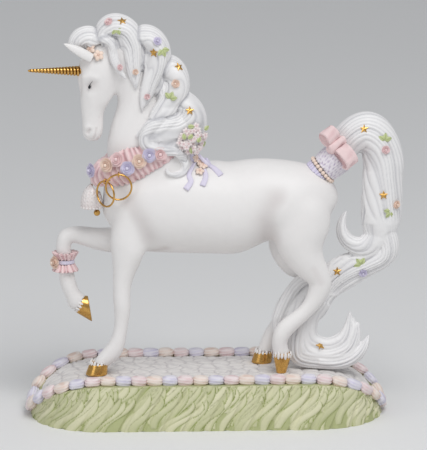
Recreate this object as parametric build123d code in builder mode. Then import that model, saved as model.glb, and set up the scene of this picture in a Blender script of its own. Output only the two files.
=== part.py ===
"""A porcelain unicorn on a grass mound, in millimetres, +Z up, origin under the middle of the mound.

The animal looks along -X and turns its left side, the near one, to -Y. Heights in the tables are over the
path that it stands on, so the whole figure follows the mound. Each row of a table is one oval of a loft.
"""

import os
from math import cos, pi, radians, sin, sqrt, tan, tau

from build123d import *

os.makedirs("parts", exist_ok=True)

# The mound, its path and the border of stones
BASE_LENGTH = 205.0
BASE_DEPTH = 95.0
BASE_HEIGHT = 24.8
BASE_CORNER = 42.0
BASE_LIP = 1.2
BASE_WALL = 4.0
BANK_LEAN = 16.0
SHOULDER_RUN = 42.0
SHOULDER_END = 101.6
VENT_DIAMETER = 8.0
PATH_THICKNESS = 1.2
BORDER_LENGTH = 202.0
BORDER_DEPTH = 68.0
STONE_COUNT = 54
STONE_LENGTH = 8.7
STONE_WIDTH = 9.0
STONE_HEIGHT = 4.2
STONE_GAP = 0.5
BLADE_COUNT = 43
BLADE_LEAN = 32.0
BLADE_GAP_RADIUS = 1.9
BLADE_GAP_DEPTH = 1.2

# The animal
NEAR_LEG_SIDE = -12.0
FAR_LEG_SIDE = 13.0
HEAD_YAW = 13.0
HEAD_PIVOT = -52.0
HORN_LENGTH = 30.5
HORN_RADIUS = 2.9
HORN_RIDGES = 14
HORN_SLANT = 20.0
HOOF_HEIGHT = 6.5
EAR_LENGTH = 18.6
EAR_RISE = 10.0
EAR_SPREAD = 6.6
EAR_ROOT_X = -69.0
EAR_ROOT_HEIGHT = 183.8

# The collar, its bell and its two linked rings
COLLAR_TOP_TILT = 12.0
COLLAR_FOOT_TILT = 22.0
COLLAR_LENGTH = 62.0
COLLAR_WIDTH = 40.0
COLLAR_HEIGHT = 20.0
COLLAR_FLARE = 3.0
ROSE_RADIUS = 3.9
ROSE_HEIGHT = 3.4
BELL_HEIGHT = 15.0
BELL_RADIUS = 6.2
BELL_WALL = 1.0
BELL_CROWN = 4.6
BELL_STEM = 1.3
CLAPPER_RADIUS = 1.9
CLAPPER_ROD = 0.6
RING_RADIUS = 7.4
RING_WIRE = 1.1
FRONT_RING_YAW = 50.0
EYE_RADIUS = 1.35
EYE_WIRE = 0.8
EYE_SHANK = 4.0

# Trim
GARTER_RADIUS = 8.2
GARTER_CORE = 5.4
GARTER_BAND = 2.2
GARTER_RUFFLE = 4.6
TRIM_GAP = 0.15
DOCK_RADIUS = 8.6
RIBBON_WIDTH = 3.6
PEARL_RADIUS = 1.15
LACE_WIDTH = 5.5
BOW_LOOP = 11.5
BOW_WIDTH = 8.0
BOW_THICKNESS = 1.4
STAR_RADIUS = 2.6
STAR_THICKNESS = 1.1
BUD_RADIUS = 2.2
LEAF_LENGTH = 6.0
LEAF_THICKNESS = 0.8
RIBBON_END = 15.0
BLOSSOM_RADIUS = 3.4
BLOSSOM_THICKNESS = 1.5

GROUND = BASE_HEIGHT + PATH_THICKNESS
ACROSS = Vector(0, 1, 0)
# The trim is set out on the drawing of the near side, seen from a little above
SIGHT = Vector(0, cos(radians(13)), -sin(radians(13)))


def spot(x, side, height):
    """A point at a height over the path."""
    return Vector(x, side, GROUND + height)


def oval_loft(rows, start=None, tip=None, side=ACROSS):
    """A cast form lofted through ovals: rows of x, side, height, half depth in profile, half width."""
    places = [spot(*row[:3]) for row in rows]
    before = places[0] if start is None else spot(*start)
    after = places[-1] if tip is None else spot(*tip)
    line = [before, *places, after]
    ovals = []
    with BuildPart() as form:
        for number, row in enumerate(rows):
            run = line[number + 2] - line[number]
            with BuildSketch(Plane(places[number], x_dir=side.cross(run), z_dir=run)) as oval:
                Ellipse(row[3], row[4])
            ovals.append(oval.sketch)
        ends = [] if tip is None else [Vertex(*after)]
        starts = [] if start is None else [Vertex(*before)]
        loft(sections=[*starts, *ovals, *ends])
    return form.part


def cut_form(form, *carriers):
    """The form with the pieces that it is luted to taken out of it."""
    with BuildPart() as piece:
        add(form)
        for carrier in carriers:
            add(carrier, mode=Mode.SUBTRACT)
    return piece.part


def seat(carriers, x, level, turn=0.0, lift=TRIM_GAP):
    """The plane that touches the near side of the carriers at a place on the drawing."""
    axis = Axis(spot(x, 0, level) - 150 * SIGHT, SIGHT)
    hits = []
    for carrier in carriers:
        for face in carrier.faces():
            hits += face.find_intersection_points(axis)
    point, normal = min(hits, key=lambda hit: (hit[0] - axis.position).length)
    outward = normal if normal.dot(SIGHT) < 0 else normal * -1
    level_dir = Vector(0, 0, 1).cross(outward).normalized()
    heading = level_dir * cos(radians(turn)) + outward.cross(level_dir) * sin(radians(turn))
    return Plane(point + outward * lift, x_dir=heading, z_dir=outward)


def rose(place, radius, height):
    """A full rose: rings of petals stepping in to a bud."""
    with BuildPart() as flower:
        for share, level in ((0.72, 0), (1.0, 0.38), (0.82, 0.72), (0.36, 1.0)):
            with BuildSketch(place.offset(level * height)):
                Circle(radius * share)
        loft(ruled=True)
    return flower.part


def blossom(place, radius, thickness):
    """An open flower of five round petals."""
    with BuildPart() as flower:
        with BuildSketch(place):
            Circle(radius * 0.5)
            with PolarLocations(radius * 0.58, 5):
                Circle(radius * 0.42)
        extrude(amount=thickness)
    return flower.part


def leaf(place, length, thickness):
    """A pointed leaf that springs from the place along its plane's x."""
    with BuildPart() as blade:
        with BuildSketch(place):
            with BuildLine():
                ThreePointArc((0, 0), (length * 0.45, length * 0.26), (length, 0))
                ThreePointArc((length, 0), (length * 0.45, -length * 0.26), (0, 0))
            make_face()
        extrude(amount=thickness)
    return blade.part


def group(solids):
    """Like pieces that share one node."""
    with BuildPart() as pieces:
        for solid in solids:
            add(solid)
    return pieces.part


def write(piece, label):
    """Names a finished piece and writes its file."""
    piece.label = label
    export_step(piece, f"parts/{label}.step")


# The mound: a bank of grass round a flat crown that rolls down to both ends, cast hollow with a vent below
def crown_profile(lift, inset):
    """The side view of the crown, raised by lift and drawn in by inset at both ends."""
    half = SHOULDER_END - inset
    end = BASE_LENGTH / 2
    flat = SHOULDER_END - SHOULDER_RUN
    low = BASE_LIP + lift
    under = -BASE_HEIGHT
    rise = BASE_HEIGHT - BASE_LIP
    with BuildSketch(Plane.XZ) as profile:
        with BuildLine():
            Polyline((-half, low), (-end, low), (-end, under), (end, under), (end, low), (half, low))
            EllipticalCenterArc((flat, low), half - flat, rise, start_angle=0, arc_size=90)
            Line((flat, BASE_HEIGHT + lift), (-flat, BASE_HEIGHT + lift))
            EllipticalCenterArc((-flat, low), half - flat, rise, start_angle=90, arc_size=90)
        make_face()
    return profile.sketch


def crown_height(x):
    """The height of the crown over a place along its length, with its slope there."""
    past = max(0.0, abs(x) - SHOULDER_END + SHOULDER_RUN) / SHOULDER_RUN
    rise = BASE_HEIGHT - BASE_LIP
    slope = rise / SHOULDER_RUN * past / sqrt(1 - past * past)
    return BASE_LIP + rise * sqrt(1 - past * past), slope if x > 0 else -slope


with BuildPart() as cavity:
    with BuildSketch(Plane.XY.offset(BASE_WALL)):
        RectangleRounded(BASE_LENGTH - 4 * BASE_WALL, BASE_DEPTH - 4 * BASE_WALL, BASE_CORNER - 2 * BASE_WALL)
    extrude(amount=BASE_HEIGHT, taper=BANK_LEAN)
    extrude(crown_profile(-BASE_WALL, BASE_WALL), amount=BASE_DEPTH, both=True, mode=Mode.INTERSECT)

with BuildSketch() as foot:
    RectangleRounded(BASE_LENGTH, BASE_DEPTH, BASE_CORNER)
FOOT_LINE = foot.sketch.wire()


def blade_gap(share):
    """The gap between two blades of grass, a leaning groove up the bank at a share of the way round."""
    along = FOOT_LINE % share
    outward = along.cross(Vector(0, 0, 1))
    run = Vector(0, 0, 1) - outward * tan(radians(BANK_LEAN)) + along * tan(radians(BLADE_LEAN))
    start = FOOT_LINE @ share + outward * (BLADE_GAP_RADIUS - BLADE_GAP_DEPTH) - run * BASE_LIP
    with BuildPart() as gap:
        with BuildSketch(Plane(start, z_dir=run)):
            Circle(BLADE_GAP_RADIUS)
        extrude(amount=2 * BASE_HEIGHT)
    return gap.part


with BuildPart() as grass_mound:
    add(foot.sketch)
    extrude(amount=BASE_HEIGHT, taper=BANK_LEAN)
    extrude(crown_profile(0, 0), amount=BASE_DEPTH, both=True, mode=Mode.INTERSECT)
    add(cavity.part, mode=Mode.SUBTRACT)
    for number in range(BLADE_COUNT):
        add(blade_gap(number / BLADE_COUNT), mode=Mode.SUBTRACT)
    with Locations((BASE_LENGTH / 6, 0, 0)):
        Cylinder(VENT_DIAMETER / 2, 3 * BASE_WALL, mode=Mode.SUBTRACT)
write(grass_mound.part, "grass_mound")

with BuildPart() as cobble_path:
    with BuildSketch():
        SlotOverall(BORDER_LENGTH - STONE_WIDTH - 2 * STONE_GAP, BORDER_DEPTH - STONE_WIDTH - 2 * STONE_GAP)
    extrude(amount=2 * BASE_HEIGHT)
    extrude(crown_profile(PATH_THICKNESS, 0), amount=BASE_DEPTH, both=True, mode=Mode.INTERSECT)
    extrude(crown_profile(0, 0), amount=BASE_DEPTH, both=True, mode=Mode.SUBTRACT)
write(cobble_path.part, "cobble_path")


# The border: rounded stones in three colours in turn, set on the crown all round the path
def border_place(share):
    """The plane under a stone at a share of the way round the border."""
    radius = BORDER_DEPTH / 2
    straight = BORDER_LENGTH - BORDER_DEPTH
    arc = pi * radius
    along = share * 2 * (straight + arc)
    half = 1 if along < straight + arc else -1
    along = along % (straight + arc)
    if along < straight:
        x, y, turn = along - straight / 2, -radius, 0
    else:
        turn = (along - straight) / radius
        x, y = straight / 2 + radius * sin(turn), -radius * cos(turn)
    x, y, turn = half * x, half * y, turn if half > 0 else turn + pi
    height, slope = crown_height(x)
    normal = Vector(slope, 0, 1)
    heading = Vector(cos(turn), sin(turn), -slope * cos(turn))
    return Plane(Vector(x, y, height), x_dir=heading, z_dir=normal)


def stone(place):
    """One flat-bottomed round stone."""
    with BuildPart() as pebble:
        for share, level in ((1.0, 0), (0.94, 0.55), (0.5, 1.0)):
            with BuildSketch(place.offset(level * STONE_HEIGHT)):
                Ellipse(share * STONE_LENGTH / 2, share * STONE_WIDTH / 2)
        loft(ruled=True)
    return pebble.part


for first, colour in enumerate(("pink", "peach", "lavender")):
    places = [border_place(number / STONE_COUNT) for number in range(first, STONE_COUNT, 3)]
    write(group(stone(place) for place in places), f"border_stones_{colour}")

# The body: barrel, neck and head, each luted to the one before
torso = oval_loft(
    (
        (-58.6, 0, 97, 8, 6),
        (-55.5, 0, 97.5, 16, 11),
        (-50, 0, 98.5, 23, 16),
        (-42, 0, 99, 27, 20),
        (-27, 0, 98.5, 28.5, 22),
        (-9, 0, 96.7, 27.4, 22.5),
        (8, 0, 96.1, 27.4, 22.5),
        (25.5, 0, 98.4, 25.5, 22),
        (37, 0, 100.3, 23.9, 22),
        (49, 0, 99.3, 23.3, 21.5),
        (60, 0, 97.9, 20.9, 18.5),
        (67.5, 0, 95.5, 15.5, 13.5),
        (71.3, 0, 92.8, 8.5, 7.5),
    ),
    start=(-60.2, 0, 97),
    tip=(72.8, 0, 91.5),
)
write(torso, "torso")

neck = cut_form(
    oval_loft(
        (
            (-25, 0, 110, 25, 16),
            (-30.8, 0, 122.3, 27.5, 17),
            (-34.8, 0, 134.8, 23, 14.5),
            (-37.4, 0, 149.1, 17.3, 11.5),
            (-38.6, 0, 161.6, 13, 9.8),
            (-43.5, 0, 174.7, 11.3, 9.2),
            (-49.3, 0, 186, 10.5, 8.8),
            (-54.5, 0, 193.1, 8, 7.2),
        ),
        tip=(-58, 0, 197.3),
    ),
    torso,
)
write(neck, "neck")

YAW = radians(HEAD_YAW)
HEAD_SIDE = Vector(-sin(YAW), cos(YAW), 0)


def head_spot(x, side, height):
    """A place on the head, given on its own profile, turned with it towards the near side."""
    reach = x - HEAD_PIVOT
    return HEAD_PIVOT + reach * cos(YAW) - side * sin(YAW), reach * sin(YAW) + side * cos(YAW), height


HEAD_ROWS = (
    (-59.2, 193.6, 8, 6),
    (-60.9, 187.1, 9.9, 8),
    (-62.4, 179.4, 11.6, 9),
    (-62.6, 172.2, 11.9, 8.8),
    (-63.2, 166.3, 10.7, 8),
    (-64.7, 160.9, 8.7, 6.8),
    (-65.9, 156.1, 7, 5.7),
    (-66, 150.8, 6.3, 5.2),
    (-65.8, 145.4, 6.3, 5.5),
    (-65.7, 141.9, 6.2, 5.4),
    (-65.7, 138.7, 4.8, 4.2),
    (-65.7, 137.2, 2.6, 2.4),
)
head = cut_form(
    oval_loft(
        [(*head_spot(x, 0, height), deep, wide) for x, height, deep, wide in HEAD_ROWS],
        side=HEAD_SIDE,
    ),
    neck,
)
write(head, "head")


# The ears: pointed cups, pricked forward
def ear(side):
    """One ear on a side of the head's own middle plane."""
    run = sqrt(EAR_LENGTH**2 - EAR_RISE**2)
    rows = []
    for share, deep, wide in ((0, 3.2, 2.2), (0.3, 4.0, 2.6), (0.65, 3.0, 2.0)):
        place = head_spot(EAR_ROOT_X - share * run, side * EAR_SPREAD, EAR_ROOT_HEIGHT + share * EAR_RISE)
        rows.append((*place, deep, wide))
    tip = head_spot(EAR_ROOT_X - run, side * EAR_SPREAD, EAR_ROOT_HEIGHT + EAR_RISE)
    return oval_loft(rows, tip=tip, side=HEAD_SIDE)


near_ear = cut_form(ear(-1), head, neck)
far_ear = cut_form(ear(1), head, neck)
write(near_ear, "near_ear")
write(far_ear, "far_ear")

# The horn: a gilded cone of twisted flutes, its root let into the brow
HORN_ROOT = spot(*head_spot(-71.5, 0, 178.4))
HORN_TIP = spot(*head_spot(-71.5 - HORN_LENGTH, 0, 180.2))
HORN_AXIS = (HORN_TIP - HORN_ROOT).normalized()
RIDGE_PLANE = Plane(HORN_ROOT, x_dir=(0, 0, 1), z_dir=HORN_AXIS).rotated((0, HORN_SLANT, 0))
with BuildPart() as horn_form:
    for step in range(2 * HORN_RIDGES + 1):
        share = step / (2 * HORN_RIDGES)
        radius = HORN_RADIUS * (1 - 0.93 * share) * (1.0 if step % 2 == 0 else 0.8)
        place = HORN_ROOT + HORN_AXIS * HORN_LENGTH * share
        with BuildSketch(Plane(place, x_dir=RIDGE_PLANE.x_dir, z_dir=RIDGE_PLANE.z_dir)):
            Circle(radius)
    loft(ruled=True)
horn = cut_form(horn_form.part, head)
write(horn, "horn")

# The legs: each is luted to the barrel and stops at its gilded hoof
NEAR = NEAR_LEG_SIDE
FAR = FAR_LEG_SIDE


def hoof(top, bottom, top_size, bottom_size, run):
    """A hoof: a short loft from its coronet to its sole, both square to the run."""
    with BuildPart() as shoe:
        for place, size in ((top, top_size), (bottom, bottom_size)):
            with BuildSketch(Plane(spot(*place), x_dir=ACROSS.cross(run), z_dir=run)):
                Ellipse(*size)
        loft()
    return shoe.part


DOWN = Vector(0, 0, -1)
near_fore_hoof = hoof((-62.9, NEAR, HOOF_HEIGHT), (-64.2, NEAR, 0), (5.3, 5.4), (6.4, 6.4), DOWN)
far_hind_hoof = hoof((34.2, FAR, HOOF_HEIGHT), (33, FAR, 0), (5.2, 5.2), (6.0, 6.0), DOWN)
near_hind_hoof = hoof((43.9, NEAR - 1, 11.8), (43.2, NEAR - 1, 0), (5.6, 5.3), (2.8, 3.0), DOWN)
raised_hoof = hoof((-73.4, FAR - 2, 36.5), (-67.4, FAR - 2, 33.6), (5.3, 5.0), (6.7, 5.6), Vector(1, 0, -0.4))

near_foreleg = oval_loft(
    (
        (-42.5, NEAR + 3, 97, 12, 8.5),
        (-43.6, NEAR + 2.5, 83, 12.2, 9),
        (-45.8, NEAR + 1.5, 71.8, 9.8, 8),
        (-47.6, NEAR + 1, 62.3, 7, 6.6),
        (-49.2, NEAR + 0.5, 52.2, 5.3, 5.2),
        (-49.2, NEAR, 42, 4.9, 5),
        (-49.4, NEAR, 32.5, 4.2, 4.2),
        (-50.8, NEAR, 23, 4.1, 4.1),
        (-53.4, NEAR, 15.5, 4.9, 4.6),
        (-58.2, NEAR, 9.8, 4.7, 4.6),
        (-62, NEAR, 5, 4.4, 4.4),
    )
)
raised_foreleg = oval_loft(
    (
        (-42, FAR - 5, 77, 9, 8),
        (-50, FAR - 4, 75.3, 8.2, 8),
        (-57, FAR - 3, 75, 7.1, 7.3),
        (-66.1, FAR - 2.5, 76.2, 6, 6),
        (-75.2, FAR - 2, 77.9, 4.9, 5),
        (-80.6, FAR - 2, 76.6, 4.8, 4.9),
        (-82.4, FAR - 2, 71.3, 4.4, 4.4),
        (-81.6, FAR - 2, 63.4, 4, 4),
        (-80.8, FAR - 2, 55.1, 4.4, 4.3),
        (-79.5, FAR - 2, 47.9, 4.6, 4.5),
        (-76.8, FAR - 2, 41.4, 4.8, 4.6),
        (-72, FAR - 2, 36.4, 4.4, 4.3),
    )
)
near_hind_leg = oval_loft(
    (
        (55, NEAR + 4, 104, 14, 10),
        (55, NEAR + 2, 93, 17, 12),
        (53.9, NEAR + 1, 82.2, 16.5, 11.5),
        (56, NEAR + 0.5, 70.3, 11.8, 9.5),
        (61.3, NEAR, 61.3, 8.7, 7.3),
        (65.6, NEAR, 53.2, 6.8, 5.8),
        (62, NEAR, 42.5, 5.2, 4.8),
        (52.8, NEAR - 0.5, 32.5, 4.5, 4.3),
        (44.6, NEAR - 1, 25, 5, 4.9),
        (42.2, NEAR - 1, 17.5, 4.5, 4.4),
        (43.8, NEAR - 1, 10, 4.4, 4.3),
    )
)
far_hind_leg = oval_loft(
    (
        (54, FAR - 4, 101, 14, 10),
        (53, FAR - 3, 88, 15.5, 11.5),
        (50, FAR - 2, 75, 13.5, 11),
        (51, FAR - 1, 63.5, 10.5, 9),
        (56, FAR, 56, 8, 7),
        (59.3, FAR, 49.5, 6.6, 5.8),
        (53.5, FAR, 37.5, 5, 4.7),
        (46.5, FAR, 27.5, 4.4, 4.3),
        (41, FAR, 19.2, 4.9, 4.8),
        (37.2, FAR, 12.5, 4.5, 4.4),
        (34.2, FAR, 5, 4.2, 4.2),
    )
)
near_foreleg = cut_form(near_foreleg, torso, near_fore_hoof)
raised_foreleg = cut_form(raised_foreleg, torso, near_foreleg, raised_hoof)
near_hind_leg = cut_form(near_hind_leg, torso, near_hind_hoof)
far_hind_leg = cut_form(far_hind_leg, torso, near_hind_leg, far_hind_hoof)
write(near_fore_hoof, "near_fore_hoof")
write(raised_hoof, "raised_hoof")
write(near_hind_hoof, "near_hind_hoof")
write(far_hind_hoof, "far_hind_hoof")
write(near_foreleg, "near_foreleg")
write(raised_foreleg, "raised_foreleg")
write(near_hind_leg, "near_hind_leg")
write(far_hind_leg, "far_hind_leg")

# The collar: a ruffled garland round the root of the neck, lower in front
COLLAR_MIDDLE = spot(-38, 0, 126.4)
COLLAR_ROWS = ((0, COLLAR_FLARE), (0.2, 0.5), (0.45, 0), (0.7, 0.6), (1.0, COLLAR_FLARE))
with BuildPart() as collar_form:
    for share, draw in COLLAR_ROWS:
        tilt = radians(COLLAR_FOOT_TILT + share * (COLLAR_TOP_TILT - COLLAR_FOOT_TILT))
        middle = COLLAR_MIDDLE + Vector(0, 0, (share - 0.5) * COLLAR_HEIGHT)
        with BuildSketch(Plane(middle, x_dir=(cos(tilt), 0, sin(tilt)), z_dir=(-sin(tilt), 0, cos(tilt)))):
            Ellipse(COLLAR_LENGTH / 2 - draw, COLLAR_WIDTH / 2 - draw)
    loft(ruled=True)
collar_ruffle = cut_form(collar_form.part, torso, neck)
write(collar_ruffle, "collar_ruffle")

# The mane: heavy locks that roll over the crest and fall on the near side, thinner ones on the far side
forelock = oval_loft(
    (
        (-58, 0, 193.1, 5.2, 6),
        (-64.4, -1, 196.9, 6.1, 7),
        (-70.8, -2, 197.5, 6.6, 7),
        (-75.4, -2.5, 194, 5, 6),
        (-76.3, -3, 189.5, 3.2, 4),
    ),
    tip=(-74.8, -3, 184.3),
)
poll_lock = oval_loft(
    (
        (-63.2, 0, 195.5, 4.5, 6),
        (-58, -1, 201.7, 6.5, 8.5),
        (-51.6, -2, 204.2, 7.4, 9.5),
        (-45.2, -4, 201.2, 7, 9),
        (-42.3, -6.5, 193.5, 6.5, 6.5),
        (-42.3, -8.5, 183.2, 5, 4.2),
        (-41.2, -9.5, 173.9, 3, 2.8),
    ),
    tip=(-40.6, -10, 167.5),
)
upper_crest_lock = oval_loft(
    (
        (-47, 0, 195.5, 5, 8),
        (-39.4, -1.5, 197.6, 6.4, 9.5),
        (-31.9, -3, 196.8, 7.2, 10),
        (-27.8, -5.5, 190.2, 7.3, 9.5),
        (-29, -8, 180.7, 6.6, 7),
        (-33.1, -9.5, 170.3, 5, 4.5),
        (-36, -10.5, 161.6, 3, 3),
    ),
    tip=(-36.5, -11, 154),
)
middle_crest_lock = oval_loft(
    (
        (-34.8, 0, 181.2, 5.5, 8.5),
        (-26.7, -1.5, 180.4, 7, 10),
        (-19.1, -3, 177.8, 7.6, 10.5),
        (-16.8, -5.5, 170.6, 7.3, 10),
        (-20.3, -8.5, 161.8, 7.2, 7.5),
        (-27.3, -10.5, 153.3, 6, 5),
    ),
    tip=(-33, -11.5, 146.5),
)
lower_crest_lock = oval_loft(
    (
        (-24.9, 0, 162.8, 6, 9),
        (-17.4, -1.5, 160.7, 7.5, 11),
        (-11, -3, 156.3, 8, 11.5),
        (-8.8, -6, 148, 9.2, 10.5),
        (-12.5, -9, 139.2, 9.4, 8.5),
        (-23.2, -12, 135.2, 6.5, 5.5),
        (-31.3, -14, 132, 4, 3.5),
    ),
    tip=(-38.3, -15, 133.5),
)
lower_crest_lobe = oval_loft(
    (
        (-12, -10, 145.5, 7.5, 6),
        (-19, -11.5, 143.5, 9.6, 6.4),
        (-27, -13, 142.4, 9.6, 5.6),
        (-34, -13.5, 142, 7.2, 4.4),
    ),
    tip=(-41.5, -13.2, 142),
)
side_strand = oval_loft(
    (
        (-58, -7, 199.5, 3, 2.5),
        (-54.5, -9, 194, 3.2, 2.6),
        (-53.4, -10, 187.1, 3, 2.4),
        (-50.5, -10.5, 180.1, 2.2, 2),
    ),
    tip=(-45.8, -10.5, 173.5),
)
far_locks = [
    oval_loft(
        (
            (-38, 3, 194, 6, 6),
            (-30, 6, 190, 6.5, 6),
            (-29, 9, 179, 6, 5),
            (-33, 10.5, 167, 4, 3.4),
        ),
        tip=(-36, 11, 156),
    ),
    oval_loft(
        (
            (-26, 4, 176, 6.5, 6),
            (-20, 7, 167, 6.8, 6),
            (-25, 10.5, 156, 6, 5),
            (-32, 12, 147, 4, 3.4),
        ),
        tip=(-37, 13, 138),
    ),
    oval_loft(
        (
            (-15, 4, 156, 7, 7),
            (-12, 7.5, 147, 7.4, 6.5),
            (-19, 11.5, 138.5, 6, 5),
        ),
        tip=(-31, 14.5, 133),
    ),
]
forelock = cut_form(forelock, neck, head, near_ear, far_ear)
poll_lock = cut_form(poll_lock, neck, head, forelock)
upper_crest_lock = cut_form(upper_crest_lock, neck, poll_lock)
middle_crest_lock = cut_form(middle_crest_lock, neck, collar_ruffle, upper_crest_lock)
lower_crest_lock = group((lower_crest_lock, lower_crest_lobe))
lower_crest_lock = cut_form(lower_crest_lock, neck, torso, collar_ruffle, middle_crest_lock)
side_strand = cut_form(side_strand, neck, head, forelock, poll_lock)
far_mane = cut_form(
    group(far_locks), neck, collar_ruffle, poll_lock, upper_crest_lock, middle_crest_lock, lower_crest_lock
)
write(forelock, "forelock")
write(poll_lock, "poll_lock")
write(upper_crest_lock, "upper_crest_lock")
write(middle_crest_lock, "middle_crest_lock")
write(lower_crest_lock, "lower_crest_lock")
write(side_strand, "side_strand")
write(far_mane, "far_mane")

# The tail: it arches up from the rump, falls, curls, sweeps between the hind legs and fans over the path
tail_arch = oval_loft(
    (
        (61, 0, 112.6, 7.3, 7.3),
        (69.6, 0, 119.3, 7.4, 7),
        (77.4, 0, 128, 8.6, 6.8),
        (83.4, 0, 135.8, 10.4, 7.8),
        (92, 0, 140, 12.2, 9),
        (99.6, 0, 134.6, 12, 9.6),
        (102.6, 0, 125, 12, 9.8),
        (102.7, 0, 116, 11.9, 9.8),
    )
)
tail_fall = oval_loft(
    (
        (102.6, 0, 117, 11.9, 9.8),
        (102.2, 0, 106, 12, 9.8),
        (101.9, 0, 94.3, 12.1, 9.6),
        (101.2, 0, 84, 11, 8.8),
        (100.2, 0, 76, 7, 7),
    )
)
tail_sweep = oval_loft(
    (
        (102.5, 0, 83, 6, 7),
        (105.6, 0, 75.5, 7, 7.6),
        (103, 0, 67, 7.4, 7.5),
        (94, 0.3, 62.1, 8.2, 6.8),
        (83.5, 0.5, 58, 10.2, 5.8),
        (74.2, 0.5, 52, 9.8, 5.2),
        (67.3, 0.5, 43.1, 8, 4.8),
        (60.9, 0, 31.2, 6.8, 4.6),
        (56.3, -0.5, 20.4, 6.6, 5),
    )
)
tail_curl = oval_loft(
    (
        (102.1, 0, 85.4, 9, 8),
        (98.6, -0.5, 76.4, 8, 7.5),
        (90.5, -1, 72.3, 6.6, 6.5),
        (82.9, -1, 75.2, 4.8, 5.2),
        (78.9, -1, 82.4, 3.5, 4),
        (79.5, -1, 88.9, 2, 2.6),
    ),
    tip=(81.8, -1, 93.7),
)
tail_fan = oval_loft(
    (
        (56.3, -0.5, 23, 6.6, 5.2),
        (56.8, -1, 14.5, 7, 6.5),
        (62.1, -1, 8.6, 7, 7.5),
        (70.8, -1, 7, 6.7, 7.5),
        (79.5, -1, 10.9, 6.4, 6.5),
        (84.7, -1, 18.1, 4.6, 5),
        (85.6, -0.5, 25.8, 2.6, 3),
    ),
    tip=(82.9, 0, 34.1),
)
tail_tip = oval_loft(
    (
        (65, -4, 4.6, 4, 6),
        (74.8, -4, 3.4, 3.6, 6),
        (83.5, -4, 5, 3.6, 5.5),
        (89.9, -4, 9.7, 2.9, 4.5),
        (93.4, -3.5, 15.1, 1.8, 2.6),
    ),
    tip=(94.8, -3, 20.4),
)
tail_arch = cut_form(tail_arch, torso)
tail_fall = cut_form(tail_fall, tail_arch)
tail_sweep = cut_form(tail_sweep, tail_fall)
tail_curl = cut_form(tail_curl, tail_fall, tail_sweep)
tail_fan = cut_form(tail_fan, tail_sweep, cobble_path.part)
tail_tip = cut_form(tail_tip, tail_fan, cobble_path.part)
write(tail_arch, "tail_arch")
write(tail_fall, "tail_fall")
write(tail_sweep, "tail_sweep")
write(tail_curl, "tail_curl")
write(tail_fan, "tail_fan")
write(tail_tip, "tail_tip")

# The bell: a cup with a thick crown on a stem from the collar, with a gilded clapper that leans to the chest
BELL_TOP = spot(-66.4, -3, 112)
with BuildPart() as bell:
    with BuildSketch(Plane(BELL_TOP, x_dir=(1, 0, 0), z_dir=(0, -1, 0))):
        with BuildLine():
            inner = BELL_RADIUS - BELL_WALL
            Line((0, 0), (0, -BELL_CROWN))
            Spline((0, -BELL_CROWN), (BELL_RADIUS * 0.5, -BELL_CROWN - BELL_WALL * 2), (inner, -BELL_HEIGHT))
            Line((inner, -BELL_HEIGHT), (BELL_RADIUS, -BELL_HEIGHT))
            Spline((BELL_RADIUS, -BELL_HEIGHT), (BELL_RADIUS * 0.5 + BELL_WALL, -BELL_HEIGHT * 0.27), (0, 0))
        make_face()
    revolve(axis=Axis(BELL_TOP, (0, 0, 1)))
    with BuildSketch(Plane(BELL_TOP - Vector(0, 0, BELL_WALL / 2), z_dir=(0.8, 0.3, 0.6))):
        Circle(BELL_STEM)
    extrude(amount=COLLAR_HEIGHT / 2)
    add(collar_ruffle, mode=Mode.SUBTRACT)
write(bell.part, "bell")

CLAPPER_FOOT = BELL_TOP + Vector(BELL_RADIUS / 2, 0, -BELL_HEIGHT - CLAPPER_RADIUS - BELL_WALL)
CLAPPER_ROOT = BELL_TOP - Vector(0, 0, BELL_CROWN)
with BuildPart() as clapper:
    with BuildSketch(Plane(CLAPPER_FOOT, z_dir=CLAPPER_ROOT - CLAPPER_FOOT)):
        Circle(CLAPPER_ROD)
    extrude(amount=(CLAPPER_ROOT - CLAPPER_FOOT).length)
    with Locations(CLAPPER_FOOT):
        Sphere(CLAPPER_RADIUS)
    add(bell.part, mode=Mode.SUBTRACT)
write(clapper.part, "clapper")

# The linked rings: gold wire, each through a wire eye in the collar, swinging about the line of both eyes
SIDE_RING_TOP = spot(-51.2, -21.2, 120.6)
FRONT_RING_TOP = SIDE_RING_TOP + Vector(-7.5, 3.6, -4.7)
SIDE_RING_RUN = Vector(1, 0, 0)
FRONT_RING_RUN = SIDE_RING_RUN.rotate(Axis.Z, -FRONT_RING_YAW)


def wire_ring(top, run):
    """A closed ring of round wire that hangs from its top in the plane of its run."""
    with BuildPart() as ring:
        with BuildSketch(Plane(top, x_dir=(0, 0, 1), z_dir=run)):
            Circle(RING_WIRE / 2)
        revolve(axis=Axis(top - Vector(0, 0, RING_RADIUS), Vector(0, 0, 1).cross(run)))
    return ring.part


def wire_eye(top, run):
    """A wire eye round the top of a ring, its shank let into the collar."""
    inward = Vector(0, 0, 1).cross(run)
    with BuildPart() as eye:
        with BuildSketch(Plane(top + Vector(0, 0, EYE_RADIUS), z_dir=inward)):
            Circle(EYE_WIRE / 2)
        revolve(axis=Axis(top, run))
        with BuildSketch(Plane(top + inward * EYE_RADIUS, z_dir=inward)):
            Circle(EYE_WIRE / 2)
        extrude(amount=EYE_SHANK)
        add(collar_ruffle, mode=Mode.SUBTRACT)
    return eye.part


side_ring = wire_ring(SIDE_RING_TOP, SIDE_RING_RUN)
front_ring = wire_ring(FRONT_RING_TOP, FRONT_RING_RUN)
write(side_ring, "side_ring")
write(front_ring, "front_ring")
write(wire_eye(SIDE_RING_TOP, SIDE_RING_RUN), "side_eye")
write(wire_eye(FRONT_RING_TOP, FRONT_RING_RUN), "front_eye")

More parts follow.
